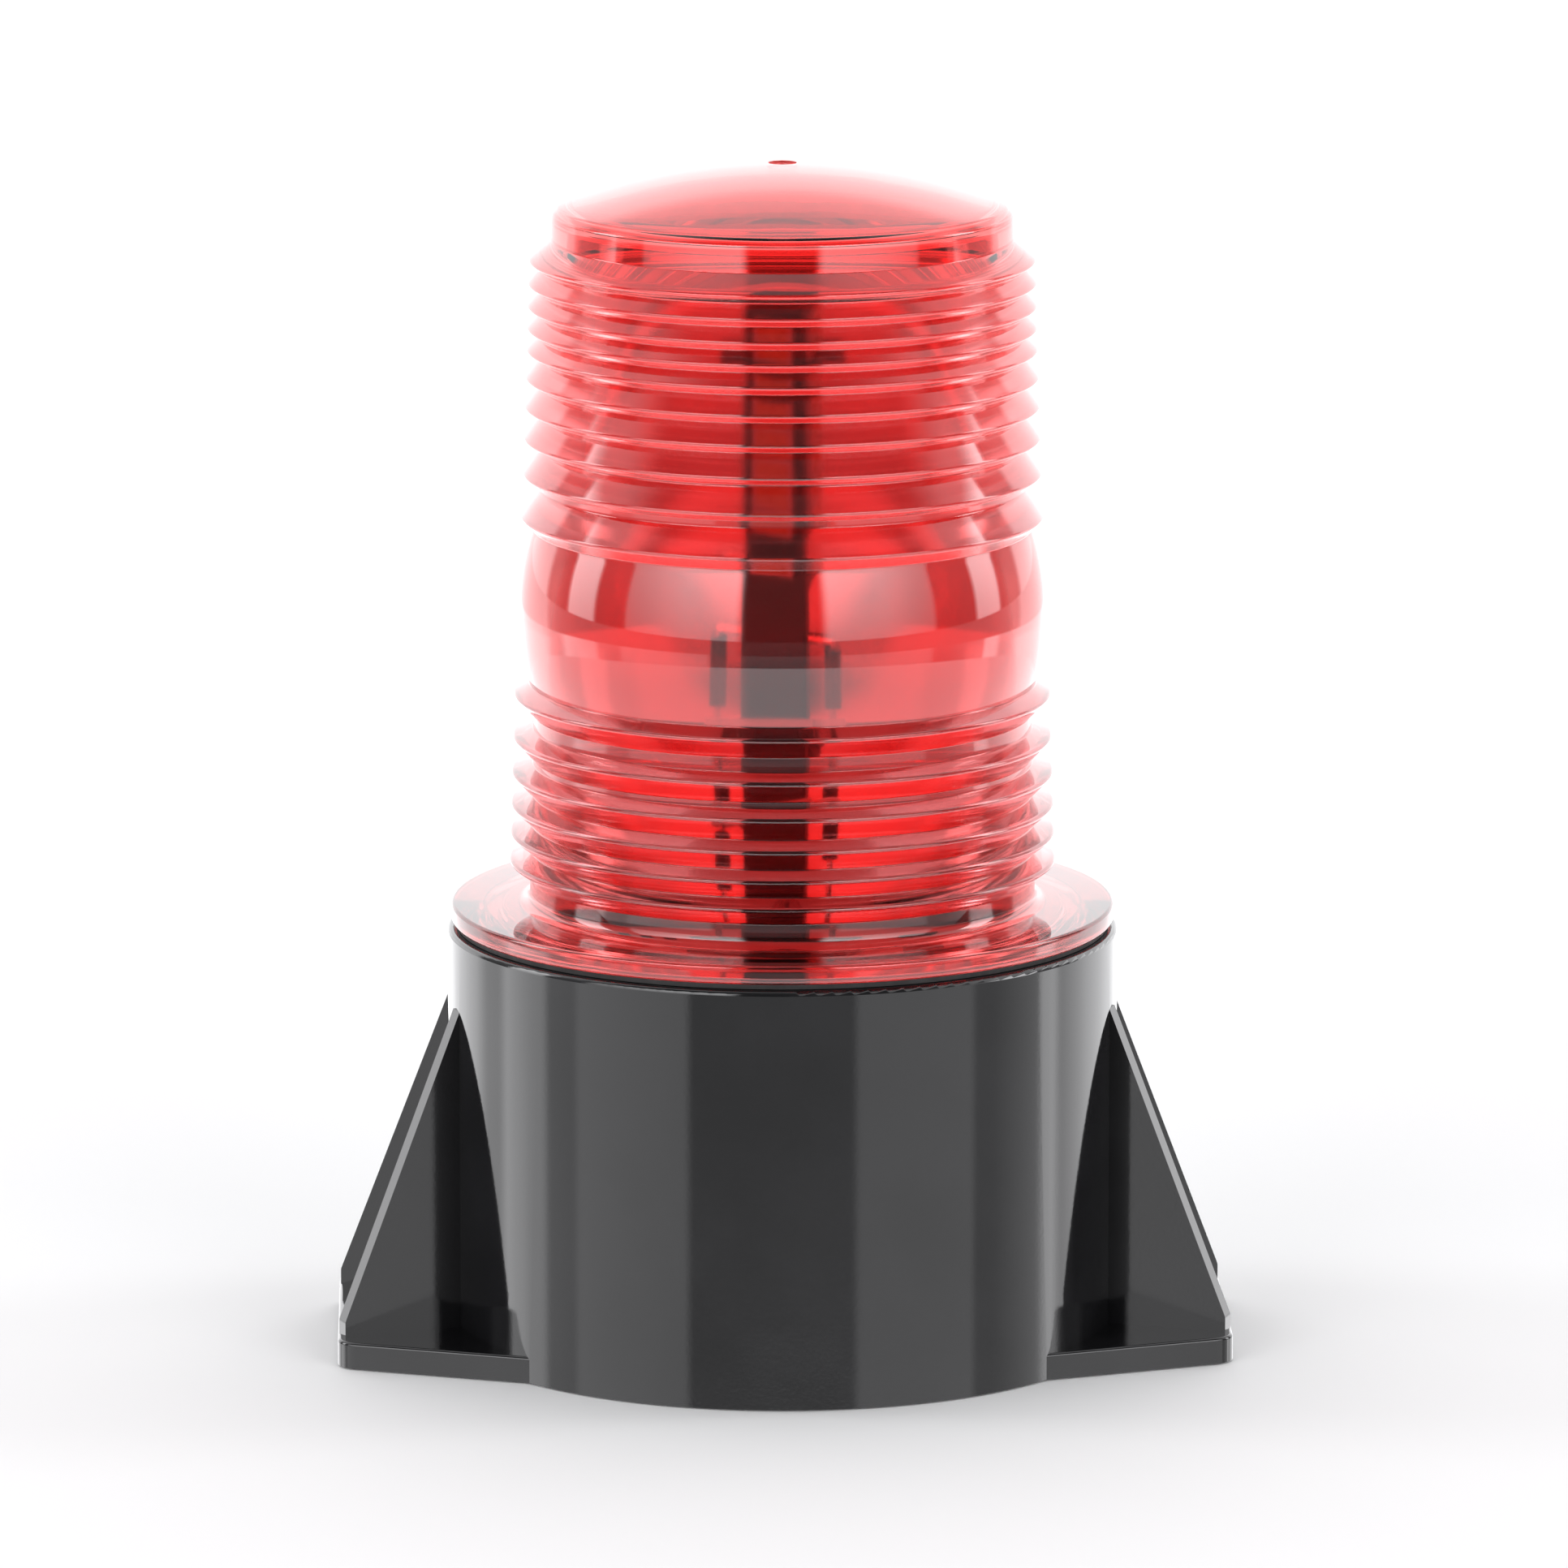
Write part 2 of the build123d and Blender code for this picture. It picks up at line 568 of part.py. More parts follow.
def link_pins():
    """Square pins running from the power board up to the lamp board."""
    return Compound([block(0.64, 0.64, POWER_BOARD_TOP, LAMP_BOARD_Z, x) for x in HEADER_X])


def controller_chip():
    """Small chip with four legs a side."""
    x, y = 17.0, -9.0
    body = block(5, 4, LAMP_TOP + 0.15, LAMP_TOP + 1.65, x, y)
    body = chamfer(body.edges().group_by(Axis.Z)[-1], 0.25)
    for leg in range(4):
        leg_x = x + (leg - 1.5) * 1.27
        body += block(0.42, 6, LAMP_TOP, LAMP_TOP + 0.4, leg_x, y)
    return body


def chip_resistors():
    """Row of small surface-mount resistors."""
    return Compound([block(1.6, 3.2, LAMP_TOP, LAMP_TOP + 0.6, -21 + 3.2 * n, -11) for n in range(3)])


# ---- light tower --------------------------------------------------------------------------

def on_tower(piece):
    """Turns a piece made about the Z axis into the tower's own stance."""
    return Rot(0, 0, TOWER_TURN) * piece


def stem_hole(low, high):
    """What the stem takes out of a plate made round its own axis."""
    return block(STEM_W, STEM_T, low, high)


def stem_foot():
    """Plate that holds the stem on the lamp board, with a slot for it and holes for the wires."""
    foot = block(FOOT_W, FOOT_D, LAMP_TOP, LAMP_TOP + FOOT_T)
    foot = fillet(foot.edges().filter_by(Axis.Z), 1.5)
    foot -= stem_hole(LAMP_TOP - 1, LAMP_TOP + 3)
    for x, y in foot_rivet_points():
        foot -= post(RIVET_R + 0.05, LAMP_TOP - 1, LAMP_TOP + 3, x, y)
    for side in (-1, 1):
        foot -= post(WIRE_R + 0.5, LAMP_TOP - 1, LAMP_TOP + 3, side * WIRE_X)
    return Pos(0, STEM_Y, 0) * foot


def foot_rivet_points():
    x, y = FOOT_RIVET
    return [(x, y), (-x, y), (-x, -y), (x, -y)]


def foot_rivets():
    """Four rivets that hold the foot plate to the lamp board."""
    rivets = []
    seat = LAMP_TOP + FOOT_T
    for x, y in foot_rivet_points():
        head = post(RIVET_HEAD_R, seat, seat + RIVET_HEAD_H, x, y)
        head = fillet(head.edges().sort_by(Axis.Z)[-1], 0.5)
        shank = post(RIVET_R, LAMP_TOP, seat, x, y)
        rivets.append(Pos(0, STEM_Y, 0) * (head + shank))
    return Compound(rivets)


def feed_wires():
    """Two stiff wires that bring the supply up beside the stem, hooked in to it at the top."""
    wires = []
    for side in (-1, 1):
        x = side * WIRE_X
        reach = WIRE_X - STEM_W / 2 - 0.05
        wire = post(WIRE_R, LAMP_TOP, WIRE_TOP, x, STEM_Y)
        hook = Pos(side * (WIRE_X - reach / 2), STEM_Y, WIRE_TOP)
        wire += hook * Rot(0, 90, 0) * Cylinder(WIRE_R, reach)
        wire += Pos(x, STEM_Y, WIRE_TOP) * Sphere(WIRE_R)
        wires.append(wire)
    return Compound(wires)


def sleeve(side, span):
    low, high = span
    x = side * WIRE_X
    return post(SLEEVE_R, low, high, x, STEM_Y) - post(WIRE_R, low - 1, high + 1, x, STEM_Y)


def wire_sleeves():
    """Insulating sleeves on the feed wires, a pair at the top and a pair under the spacer."""
    spans = ((UPPER_SLEEVE_LOW, WIRE_TOP - WIRE_R), LOWER_SLEEVE)
    return Compound([sleeve(side, span) for side in (-1, 1) for span in spans])


def wire_spacer():
    """Pale bar round the stem that keeps the two feed wires in place."""
    top = SPACER_Z + SPACER_T
    bar = block(2 * WIRE_X, SPACER_D, SPACER_Z, top)
    bar += block(STEM_W + SPACER_D, STEM_T + SPACER_D, SPACER_Z, top)
    for side in (-1, 1):
        bar += post(SPACER_D / 2 + 0.3, SPACER_Z, top, side * WIRE_X)
        bar -= post(WIRE_R, SPACER_Z - 1, top + 1, side * WIRE_X)
    bar -= stem_hole(SPACER_Z - 1, top + 1)
    return Pos(0, STEM_Y, 0) * bar


def tower_stem():
    """Flat black bar from the lamp board up through the collar."""
    stem = block(STEM_W, STEM_T, LAMP_TOP, COLUMN_BASE, 0, STEM_Y)
    return fillet(stem.edges().filter_by(Axis.Z), 0.3)


def tower_collar():
    """Plate behind the head of the stem; the four lamp boards stand on it."""
    low = COLUMN_BASE - COLLAR_T
    collar = block(COLUMN_W, COLUMN_W, low, COLUMN_BASE)
    collar = fillet(collar.edges().filter_by(Axis.Z), 0.4)
    collar -= block(*COLLAR_WIRE_HOLE, low - 1, COLUMN_BASE + 1, 0, 0.6)
    return collar - block(COLUMN_W + 2, STEM_T + 1, low - 1, COLUMN_BASE + 1, 0, STEM_Y - 0.5)


def led_board(turn):
    """One of the four upright boards; each laps the edge of the next one."""
    inset = COLUMN_W / 2 - LED_BOARD_T / 2
    width = COLUMN_W - LED_BOARD_T
    panel = block(width, LED_BOARD_T, COLUMN_BASE, COLUMN_TOP, -LED_BOARD_T / 2, -inset)
    return Rot(0, 0, turn) * panel


def led_levels():
    """Heights of the lamps, in two groups that leave room for the centring plate."""
    below = [COLUMN_BASE + LED_PITCH * (n + 0.5) for n in range(LEDS_BELOW)]
    first = below[-1] + LED_PITCH + PLATE_GAP
    return below + [first + LED_PITCH * n for n in range(LEDS_ABOVE)]


def led_frames():
    """White packages of the lamps, each a shallow tray round its window."""
    frames = []
    for face in range(4):
        for level in led_levels():
            tray = Pos(0, -COLUMN_W / 2 - LED_D / 2, level) * Box(LED_W, LED_D, LED_H)
            tray -= Pos(0, -COLUMN_W / 2 - LED_D, level) * Box(PANE_W, 2 * PANE_T, PANE_H)
            frames.append(Rot(0, 0, 90 * face) * tray)
    return Compound(frames)


def led_windows():
    """Yellow window in each lamp package."""
    windows = []
    for face in range(4):
        for level in led_levels():
            pane = Pos(0, (PANE_T - COLUMN_W) / 2 - LED_D, level) * Box(PANE_W, PANE_T, PANE_H)
            windows.append(Rot(0, 0, 90 * face) * pane)
    return Compound(windows)


def tower_plate():
    """Plate with two wings, threaded over the column to keep it in the middle of the lens."""
    low = COLUMN_BASE + LED_PITCH * LEDS_BELOW + (PLATE_GAP - PLATE_T) / 2
    plate = post(HUB_R, low, low + PLATE_T)
    plate += Rot(0, 0, -TOWER_TURN) * block(WING_W, WING_D, low, low + PLATE_T)
    return plate - block(COLUMN_W + 0.1, COLUMN_W + 0.1, COLUMN_BASE, COLUMN_TOP)


def tower_cap():
    cap = block(COLUMN_W, COLUMN_W, COLUMN_TOP, COLUMN_TOP + CAP_T)
    cap = fillet(cap.edges().group_by(Axis.Z)[-1], 0.8)
    plug = COLUMN_W - 2 * LED_BOARD_T - 0.4
    return cap + block(plug, plug, COLUMN_TOP - 3, COLUMN_TOP)


# ---- lens ---------------------------------------------------------------------------------

def ring_tips():
    """Outer tip of each ring from the top down, as radius and height."""
    upper = []
    for step in reversed(RING_STEPS):
        rise = step - RING_STEPS[0]
        upper.append((UPPER_TIP_R - UPPER_TIP_TAPER * rise, OPTIC_Z + step))
    lower = []
    for step in RING_STEPS[:LOWER_RINGS]:
        rise = step - RING_STEPS[0]
        lower.append((LOWER_TIP_R + LOWER_TIP_TAPER * rise, OPTIC_Z - step))
    return upper, lower


def upper_rings_line(tips):
    """Points down the upper rings: each long flank looks up and each short flank looks down."""
    points = []
    for (tip_r, tip_z), (next_r, next_z) in zip(tips, tips[1:]):
        room = tip_z - next_z - RING_RISER
        flank = min((next_r - UPPER_ROOT_R) / RING_SLOPE, room)
        points += [(tip_r, tip_z), (UPPER_ROOT_R, tip_z - RING_RISER)]
        if room - flank > RING_LAND:
            points.append((UPPER_ROOT_R, next_z + flank))
    return points + [tips[-1]]


def lower_rings_line(tips):
    """Points down the lower rings: each long flank looks down and each short flank looks up."""
    points = []
    for (tip_r, tip_z), (next_r, next_z) in zip(tips, tips[1:]):
        room = tip_z - next_z - RING_RISER
        flank = min(tip_r - LOWER_ROOT_R, room)
        points.append((tip_r, tip_z))
        if room - flank > RING_LAND:
            points.append((LOWER_ROOT_R, tip_z - flank))
        points.append((LOWER_ROOT_R, next_z + RING_RISER))
    return points + [tips[-1]]


def on_tip(vertex, tips):
    return any(hypot(vertex.X - tip_r, vertex.Y - tip_z) < 0.01 for tip_r, tip_z in tips)


def lens_outside():
    """Solid of revolution inside the lens's outer surface, down to the flange."""
    upper, lower = ring_tips()
    bulge_top = (BULGE_TOP_R, upper[-1][1] - BULGE_TOP_GAP)
    bulge_foot = (BULGE_FOOT_R, lower[0][1] + BULGE_FOOT_GAP)
    last_root = (NECK_R, lower[-1][1] - LAST_RING_FALL)
    flange_top = FLANGE_Z + FLANGE_T
    edge_z = LENS_TOP - DOME_R + sqrt(DOME_R ** 2 - DOME_EDGE_R ** 2)
    crown_z = LENS_TOP - DOME_R + sqrt(DOME_R ** 2 - (DOME_EDGE_R / 2) ** 2)
    outline = [
        ThreePointArc((0, LENS_TOP), (DOME_EDGE_R / 2, crown_z), (DOME_EDGE_R, edge_z)),
        Polyline((DOME_EDGE_R, edge_z), (CROWN_WALL_R, edge_z - 0.9), CROWN_FOOT,
                 *upper_rings_line(upper), bulge_top),
        ThreePointArc(bulge_top, (BULGE_R, OPTIC_Z), bulge_foot),
        Polyline(bulge_foot, *lower_rings_line(lower), last_root, (NECK_R, flange_top),
                 (FLANGE_R, flange_top), (FLANGE_R, FLANGE_Z), (0, FLANGE_Z), (0, LENS_TOP)),
    ]
    face = make_face(outline)
    face = fillet([v for v in face.vertices() if on_tip(v, upper + lower)], RING_TIP_ROUND)
    face = fillet([v for v in face.vertices() if on_tip(v, [(NECK_R, flange_top)])], NECK_ROUND)
    face = fillet([v for v in face.vertices() if on_tip(v, [(DOME_EDGE_R, edge_z)])], DOME_EDGE_ROUND)
    rim = [(FLANGE_R, flange_top), (FLANGE_R, FLANGE_Z)]
    face = fillet([v for v in face.vertices() if on_tip(v, rim)], 0.4)
    return revolve(Plane.XZ * face, Axis.Z)


def lens_inside():
    """Solid of revolution that hollows the lens: a nearly straight wall under a shallow crown."""
    top_r = DOME_R - LENS_WALL
    centre = LENS_TOP - DOME_R
    edge_r = CROWN_WALL_R - LENS_WALL
    crown_foot_z = CROWN_FOOT[1]
    edge_z = centre + sqrt(top_r ** 2 - edge_r ** 2)
    crown_z = centre + sqrt(top_r ** 2 - (edge_r / 2) ** 2)
    outline = [
        ThreePointArc((0, LENS_TOP - LENS_WALL), (edge_r / 2, crown_z), (edge_r, edge_z)),
        Polyline((edge_r, edge_z), (edge_r + 0.3, crown_foot_z - 0.5),
                 (INNER_TOP_R, crown_foot_z - SHOULDER_DROP), (INNER_FOOT_R, FLANGE_Z),
                 (0, FLANGE_Z), (0, LENS_TOP - LENS_WALL)),
    ]
    face = make_face(outline)
    face = fillet([v for v in face.vertices() if on_tip(v, [(edge_r, edge_z)])], 1.5)
    return revolve(Plane.XZ * face, Axis.Z)


def lens():
    """Red lens: ringed dome, flange, and a skirt with three quick-thread lugs."""
    body = lens_outside()
    body += post(SKIRT_R, SKIRT_FOOT, FLANGE_Z)
    body -= post(SKIRT_R - SKIRT_WALL, SKIRT_FOOT - 1, FLANGE_Z)
    body -= lens_inside()
    body -= post(GATE_R, LENS_TOP - GATE_DEPTH, LENS_TOP + 1)
    lug_middle = LEDGE_LOW_Z - THREAD_PLAY - LUG_T / 2
    for angle in lug_angles():
        body += thread_block(SKIRT_R - 0.5, SKIRT_R + THREAD_REACH, lug_middle, LUG_T, LUG_ARC, angle)
    return body


def lens_seal():
    """Flat rubber ring between the rim of the base and the flange of the lens."""
    ring = post(SEAL_OUT_R, SEAL_Z, SEAL_TOP)
    return ring - post(SEAL_IN_R, 0, LENS_TOP)


NODES = {
    "base_housing": base_housing(),
    "bottom_cover": bottom_cover(),
    "cover_screws": cover_screws(),
    "cover_seal": cover_seal(),
    "cable_grommet": cable_grommet(),
    "sounder_case": sounder_case(),
    "sounder_disc": sounder_disc(),
    "sounder_ring": sounder_ring(),
    "sounder_screws": sounder_screws(),
    "sounder_leads": sounder_leads(),
    "power_board": power_board(),
    "power_board_screws": power_board_screws(),
    "terminal_block": terminal_block(),
    "terminal_screws": terminal_screws(),
    "fuse": fuse(),
    "fuse_clips": fuse_clips(),
    "capacitors": capacitors(),
    "inductor_core": inductor_core(),
    "inductor_winding": inductor_winding(),
    "diodes": diodes(),
    "transistor": transistor(),
    "heat_spreader": heat_spreader(),
    "lamp_board": lamp_board(),
    "lamp_board_screws": lamp_board_screws(),
    "link_header": link_header(),
    "link_pins": link_pins(),
    "controller_chip": controller_chip(),
    "chip_resistors": chip_resistors(),
    "stem_foot": on_tower(stem_foot()),
    "foot_rivets": on_tower(foot_rivets()),
    "feed_wires": on_tower(feed_wires()),
    "wire_sleeves": on_tower(wire_sleeves()),
    "wire_spacer": on_tower(wire_spacer()),
    "tower_stem": on_tower(tower_stem()),
    "tower_collar": on_tower(tower_collar()),
    "led_board_front": on_tower(led_board(0)),
    "led_board_right": on_tower(led_board(90)),
    "led_board_back": on_tower(led_board(180)),
    "led_board_left": on_tower(led_board(270)),
    "led_frames": on_tower(led_frames()),
    "led_windows": on_tower(led_windows()),
    "tower_plate": on_tower(tower_plate()),
    "tower_cap": on_tower(tower_cap()),
    "lens": lens(),
    "lens_seal": lens_seal(),
}

for name, shape in NODES.items():
    export_step(shape, f"parts/{name}.step")
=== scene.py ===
import json
import math

import bmesh
import bpy
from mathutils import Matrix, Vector


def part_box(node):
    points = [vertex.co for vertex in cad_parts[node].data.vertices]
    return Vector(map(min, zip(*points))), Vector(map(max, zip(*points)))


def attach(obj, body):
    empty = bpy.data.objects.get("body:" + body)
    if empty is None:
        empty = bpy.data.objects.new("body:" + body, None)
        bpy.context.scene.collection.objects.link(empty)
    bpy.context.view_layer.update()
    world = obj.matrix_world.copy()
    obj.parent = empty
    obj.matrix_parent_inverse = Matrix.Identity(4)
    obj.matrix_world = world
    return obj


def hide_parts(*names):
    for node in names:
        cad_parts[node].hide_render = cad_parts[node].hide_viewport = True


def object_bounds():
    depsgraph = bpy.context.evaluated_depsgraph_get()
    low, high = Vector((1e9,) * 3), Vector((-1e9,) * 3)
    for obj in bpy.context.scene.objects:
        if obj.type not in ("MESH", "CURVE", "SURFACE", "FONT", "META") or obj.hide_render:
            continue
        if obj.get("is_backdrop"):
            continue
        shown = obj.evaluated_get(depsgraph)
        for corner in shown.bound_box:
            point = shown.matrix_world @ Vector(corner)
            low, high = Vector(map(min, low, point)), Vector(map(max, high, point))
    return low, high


MM = 0.001
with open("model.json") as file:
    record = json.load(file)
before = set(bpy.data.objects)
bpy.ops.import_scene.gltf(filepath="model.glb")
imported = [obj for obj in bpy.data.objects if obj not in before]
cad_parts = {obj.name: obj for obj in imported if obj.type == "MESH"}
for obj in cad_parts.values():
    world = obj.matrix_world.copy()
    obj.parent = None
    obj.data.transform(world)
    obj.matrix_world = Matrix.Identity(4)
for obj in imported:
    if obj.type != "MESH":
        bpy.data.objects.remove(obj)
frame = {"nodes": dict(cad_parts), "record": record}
low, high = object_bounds()
slot_of = {part["node"]: part["material_slot"] for part in frame["record"]["subparts"]}


# ---- node graph helpers -------------------------------------------------------------------

class Graph:
    """A node tree with short ways to add nodes and join them."""

    def __init__(self, tree):
        self.tree = tree
        self.tree.nodes.clear()

    def put(self, kind, values=(), **settings):
        node = self.tree.nodes.new("ShaderNode" + kind)
        for name, value in settings.items():
            setattr(node, name, value)
        for key, value in dict(values).items():
            self.feed(node.inputs[key], value)
        return node

    def feed(self, socket, value):
        if isinstance(value, bpy.types.NodeSocket):
            self.tree.links.new(value, socket)
        else:
            socket.default_value = value

    def math(self, operation, a, b=0.0):
        return self.put("Math", {0: a, 1: b}, operation=operation).outputs[0]

    def spread(self, value, start, end, to_start=0.0, to_end=1.0, smooth=True):
        """Value as it goes from start to end, mapped to another range and held at its ends."""
        kind = "SMOOTHSTEP" if smooth else "LINEAR"
        node = self.put("MapRange", {"Value": value, "From Min": start, "From Max": end,
                                     "To Min": to_start, "To Max": to_end}, interpolation_type=kind)
        return node.outputs[0]

    def blend(self, share, a, b):
        """Number a where share is 0, number b where it is 1."""
        node = self.put("Mix", {0: share, 2: a, 3: b}, data_type="FLOAT")
        return node.outputs[0]

    def tint(self, share, a, b):
        """Colour a where share is 0, colour b where it is 1."""
        node = self.put("Mix", data_type="RGBA")
        self.feed(node.inputs["Factor"], share)
        self.feed(node.inputs[6], a)
        self.feed(node.inputs[7], b)
        return node.outputs[2]

    def noise(self, scale, detail=3.0, where=None, stretch=None):
        where = where or self.put("TexCoord").outputs["Object"]
        if stretch:
            where = self.put("Mapping", {"Vector": where, "Scale": stretch}).outputs[0]
        node = self.put("TexNoise", {"Vector": where, "Scale": scale, "Detail": detail})
        return node.outputs["Fac"]

    def stops(self, factor, points):
        """A ramp through (position, level) points."""
        node = self.put("ValToRGB", {"Fac": factor})
        ramp = node.color_ramp
        while len(ramp.elements) < len(points):
            ramp.elements.new(0.5)
        for element, (position, level) in zip(ramp.elements, points):
            element.position = position
        for element, (position, level) in zip(ramp.elements, points):
            element.color = (level, level, level, 1)
        return node.outputs[0]


def rgb(*colour):
    return (*colour, 1.0)


def material(name):
    """A new material with a bare Principled shader joined to its output."""
    mat = bpy.data.materials.new(name)
    mat.use_nodes = True
    g = Graph(mat.node_tree)
    shader = g.put("BsdfPrincipled")
    out = g.put("OutputMaterial")
    g.tree.links.new(shader.outputs[0], out.inputs["Surface"])
    return mat, g, shader, out


def moulded(name, colour, rough, grain=1400.0, bump=0.03, spread=0.25, ior=1.5):
    """Moulded or cast surface: slow colour drift, uneven gloss and a fine grain."""
    mat, g, shader, out = material(name)
    slow = g.noise(60.0, 4.0)
    fine = g.noise(grain, 2.0)
    darker = rgb(*[c * (1 - spread) for c in colour])
    lighter = rgb(*[min(1.0, c * (1 + spread)) for c in colour])
    g.feed(shader.inputs["Base Color"], g.tint(g.spread(slow, 0.3, 0.7), darker, lighter))
    level = g.math("ADD", g.spread(slow, 0.25, 0.75, rough * 0.85, rough * 1.15),
                   g.spread(fine, 0.3, 0.7, -0.08 * rough, 0.08 * rough))
    g.feed(shader.inputs["Roughness"], level)
    relief = g.put("Bump", {"Height": fine, "Strength": bump, "Distance": 0.00005})
    g.feed(shader.inputs["Normal"], relief.outputs[0])
    shader.inputs["IOR"].default_value = ior
    return mat


def turned(name, colour, rough, rings=900.0):
    """Turned or plated metal with fine circular tool marks and a little tarnish."""
    mat, g, shader, out = material(name)
    place = g.put("TexCoord").outputs["Object"]
    marks = g.noise(rings, 2.0, place, (1.0, 1.0, 6.0))
    stain = g.noise(220.0, 4.0, place)
    dull = rgb(*[c * 0.72 for c in colour])
    g.feed(shader.inputs["Base Color"], g.tint(g.spread(stain, 0.35, 0.7), dull, rgb(*colour)))
    g.feed(shader.inputs["Roughness"], g.spread(marks, 0.3, 0.7, rough * 0.7, rough * 1.4))
    relief = g.put("Bump", {"Height": marks, "Strength": 0.15, "Distance": 0.00004})
    g.feed(shader.inputs["Normal"], relief.outputs[0])
    shader.inputs["Metallic"].default_value = 1.0
    shader.inputs["Anisotropic"].default_value = 0.3
    return mat


def circuit_board(name, mask, track):
    """Solder mask over etched tracks, with a woven glass grain under it."""
    mat, g, shader, out = material(name)
    place = g.put("TexCoord").outputs["Object"]
    cells = g.put("TexBrick", {"Vector": place, "Color1": rgb(0, 0, 0), "Color2": rgb(1, 1, 1),
                               "Mortar": rgb(0.5, 0.5, 0.5), "Scale": 160.0, "Mortar Size": 0.03})
    tracks = g.spread(cells.outputs["Fac"], 0.2, 0.6)
    weave = g.put("TexWave", {"Vector": place, "Scale": 900.0, "Distortion": 1.0})
    base = g.tint(g.math("MULTIPLY", tracks, 0.55), rgb(*mask), rgb(*track))
    g.feed(shader.inputs["Base Color"], g.tint(g.noise(90.0), base, rgb(*[c * 0.85 for c in mask])))
    g.feed(shader.inputs["Roughness"], g.spread(g.noise(700.0), 0.3, 0.7, 0.28, 0.42))
    height = g.math("ADD", g.math("MULTIPLY", tracks, 0.6),
                    g.math("MULTIPLY", weave.outputs["Fac"], 0.2))
    relief = g.put("Bump", {"Height": height, "Strength": 0.25, "Distance": 0.00004})
    g.feed(shader.inputs["Normal"], relief.outputs[0])
    shader.inputs["IOR"].default_value = 1.5
    return mat


def wound(name, colour):
    """Closely wound enamelled wire, with painted shade darkening the grooves between the turns."""
    mat, g, shader, out = material(name)
    place = g.put("TexCoord").outputs["Object"]
    turns = g.put("TexWave", {"Vector": place, "Scale": 420.0, "Distortion": 0.3},
                  bands_direction="Z")
    # painted shade: the colour darkens to under half in the grooves between the turns
    g.feed(shader.inputs["Base Color"],
           g.tint(turns.outputs["Fac"], rgb(*[c * 0.45 for c in colour]), rgb(*colour)))
    g.feed(shader.inputs["Roughness"], g.spread(g.noise(500.0), 0.3, 0.7, 0.2, 0.34))
    relief = g.put("Bump", {"Height": turns.outputs["Fac"], "Strength": 0.6, "Distance": 0.0002})
    g.feed(shader.inputs["Normal"], relief.outputs[0])
    shader.inputs["Metallic"].default_value = 1.0
    shader.inputs["Coat Weight"].default_value = 0.4
    return mat


LENS_IOR = 1.58                      # polycarbonate
# lens tints by height: the clearer upper tints and the darker bulge tint are painted light and
# shade
LOW_TINTS = rgb(0.63, 0.078, 0.073), rgb(0.67, 0.088, 0.083)
HIGH_PAINTED_LIGHT_TINTS = rgb(0.76, 0.11, 0.104), rgb(0.8, 0.122, 0.116)
BULGE_PAINTED_SHADE_TINT = rgb(0.58, 0.09, 0.088)
TIP_TINT = rgb(0.67, 0.2, 0.212)
PASSING_TINT = rgb(0.82, 0.42, 0.42)  # of light that reaches the tower and floor through the lens
INNER_SOFTNESS, SOFTNESS_BELOW = 0.14, 0.55   # extra roughness of the inner wall, share lower down

# where one zone of the lens gives way to the next, in metres of height or radius
LOW_TO_BULGE = 0.074, 0.082
BULGE_TO_HIGH = 0.084, 0.093
BELOW_TO_SOFT = 0.096, 0.104
OUTSIDE_TO_INNER_WALL = 0.029, 0.0286
CROWN_TO_INNER_WALL = 0.134, 0.132


def clear_red(name):
    """Transparent red polycarbonate, paler at the tips of the rings, with painted light in its
    tint: clearer at the top and darker at the bulge.
    """
    mat, g, shader, out = material(name)
    place = g.put("TexCoord").outputs["Object"]
    height = g.put("SeparateXYZ", {0: place}).outputs[2]
    across = g.put("VectorMath", {0: place, 1: (1.0, 1.0, 0.0)}, operation="MULTIPLY").outputs[0]
    radius = g.put("VectorMath", {0: across}, operation="LENGTH").outputs["Value"]
    flow = g.noise(55.0, 3.0, place, (1.0, 1.0, 0.35))
    haze = g.noise(900.0, 2.0, place)

    streaks = g.spread(flow, 0.3, 0.7)
    # painted shade at the bulge and painted light above it, chosen by height
    tint = g.tint(g.spread(height, *LOW_TO_BULGE), g.tint(streaks, *LOW_TINTS), BULGE_PAINTED_SHADE_TINT)
    tint = g.tint(g.spread(height, *BULGE_TO_HIGH), tint, g.tint(streaks, *HIGH_PAINTED_LIGHT_TINTS))
    thin = g.put("Attribute", attribute_name="thin").outputs["Fac"]
    g.feed(shader.inputs["Base Color"], g.tint(thin, tint, TIP_TINT))

    inner_wall = g.math("MULTIPLY", g.spread(radius, *OUTSIDE_TO_INNER_WALL),
                        g.spread(height, *CROWN_TO_INNER_WALL))
    soft = g.math("MULTIPLY", inner_wall, g.spread(height, *BELOW_TO_SOFT, SOFTNESS_BELOW, 1.0))
    polish = g.spread(haze, 0.2, 0.8, 0.008, 0.022)
    g.feed(shader.inputs["Roughness"],
           g.math("ADD", polish, g.math("MULTIPLY", soft, INNER_SOFTNESS)))
    relief = g.put("Bump", {"Height": flow, "Strength": 0.05, "Distance": 0.0004})
    g.feed(shader.inputs["Normal"], relief.outputs[0])
    shader.inputs["Transmission Weight"].default_value = 1.0
    shader.inputs["IOR"].default_value = LENS_IOR

    clear = g.put("BsdfTransparent", {"Color": PASSING_TINT})
    path = g.put("LightPath")
    passes = g.math("MAXIMUM", path.outputs["Is Shadow Ray"], path.outputs["Is Diffuse Ray"])
    mix = g.put("MixShader", {0: passes, 1: shader.outputs[0], 2: clear.outputs[0]})
    g.tree.links.new(mix.outputs[0], out.inputs["Surface"])
    return mat


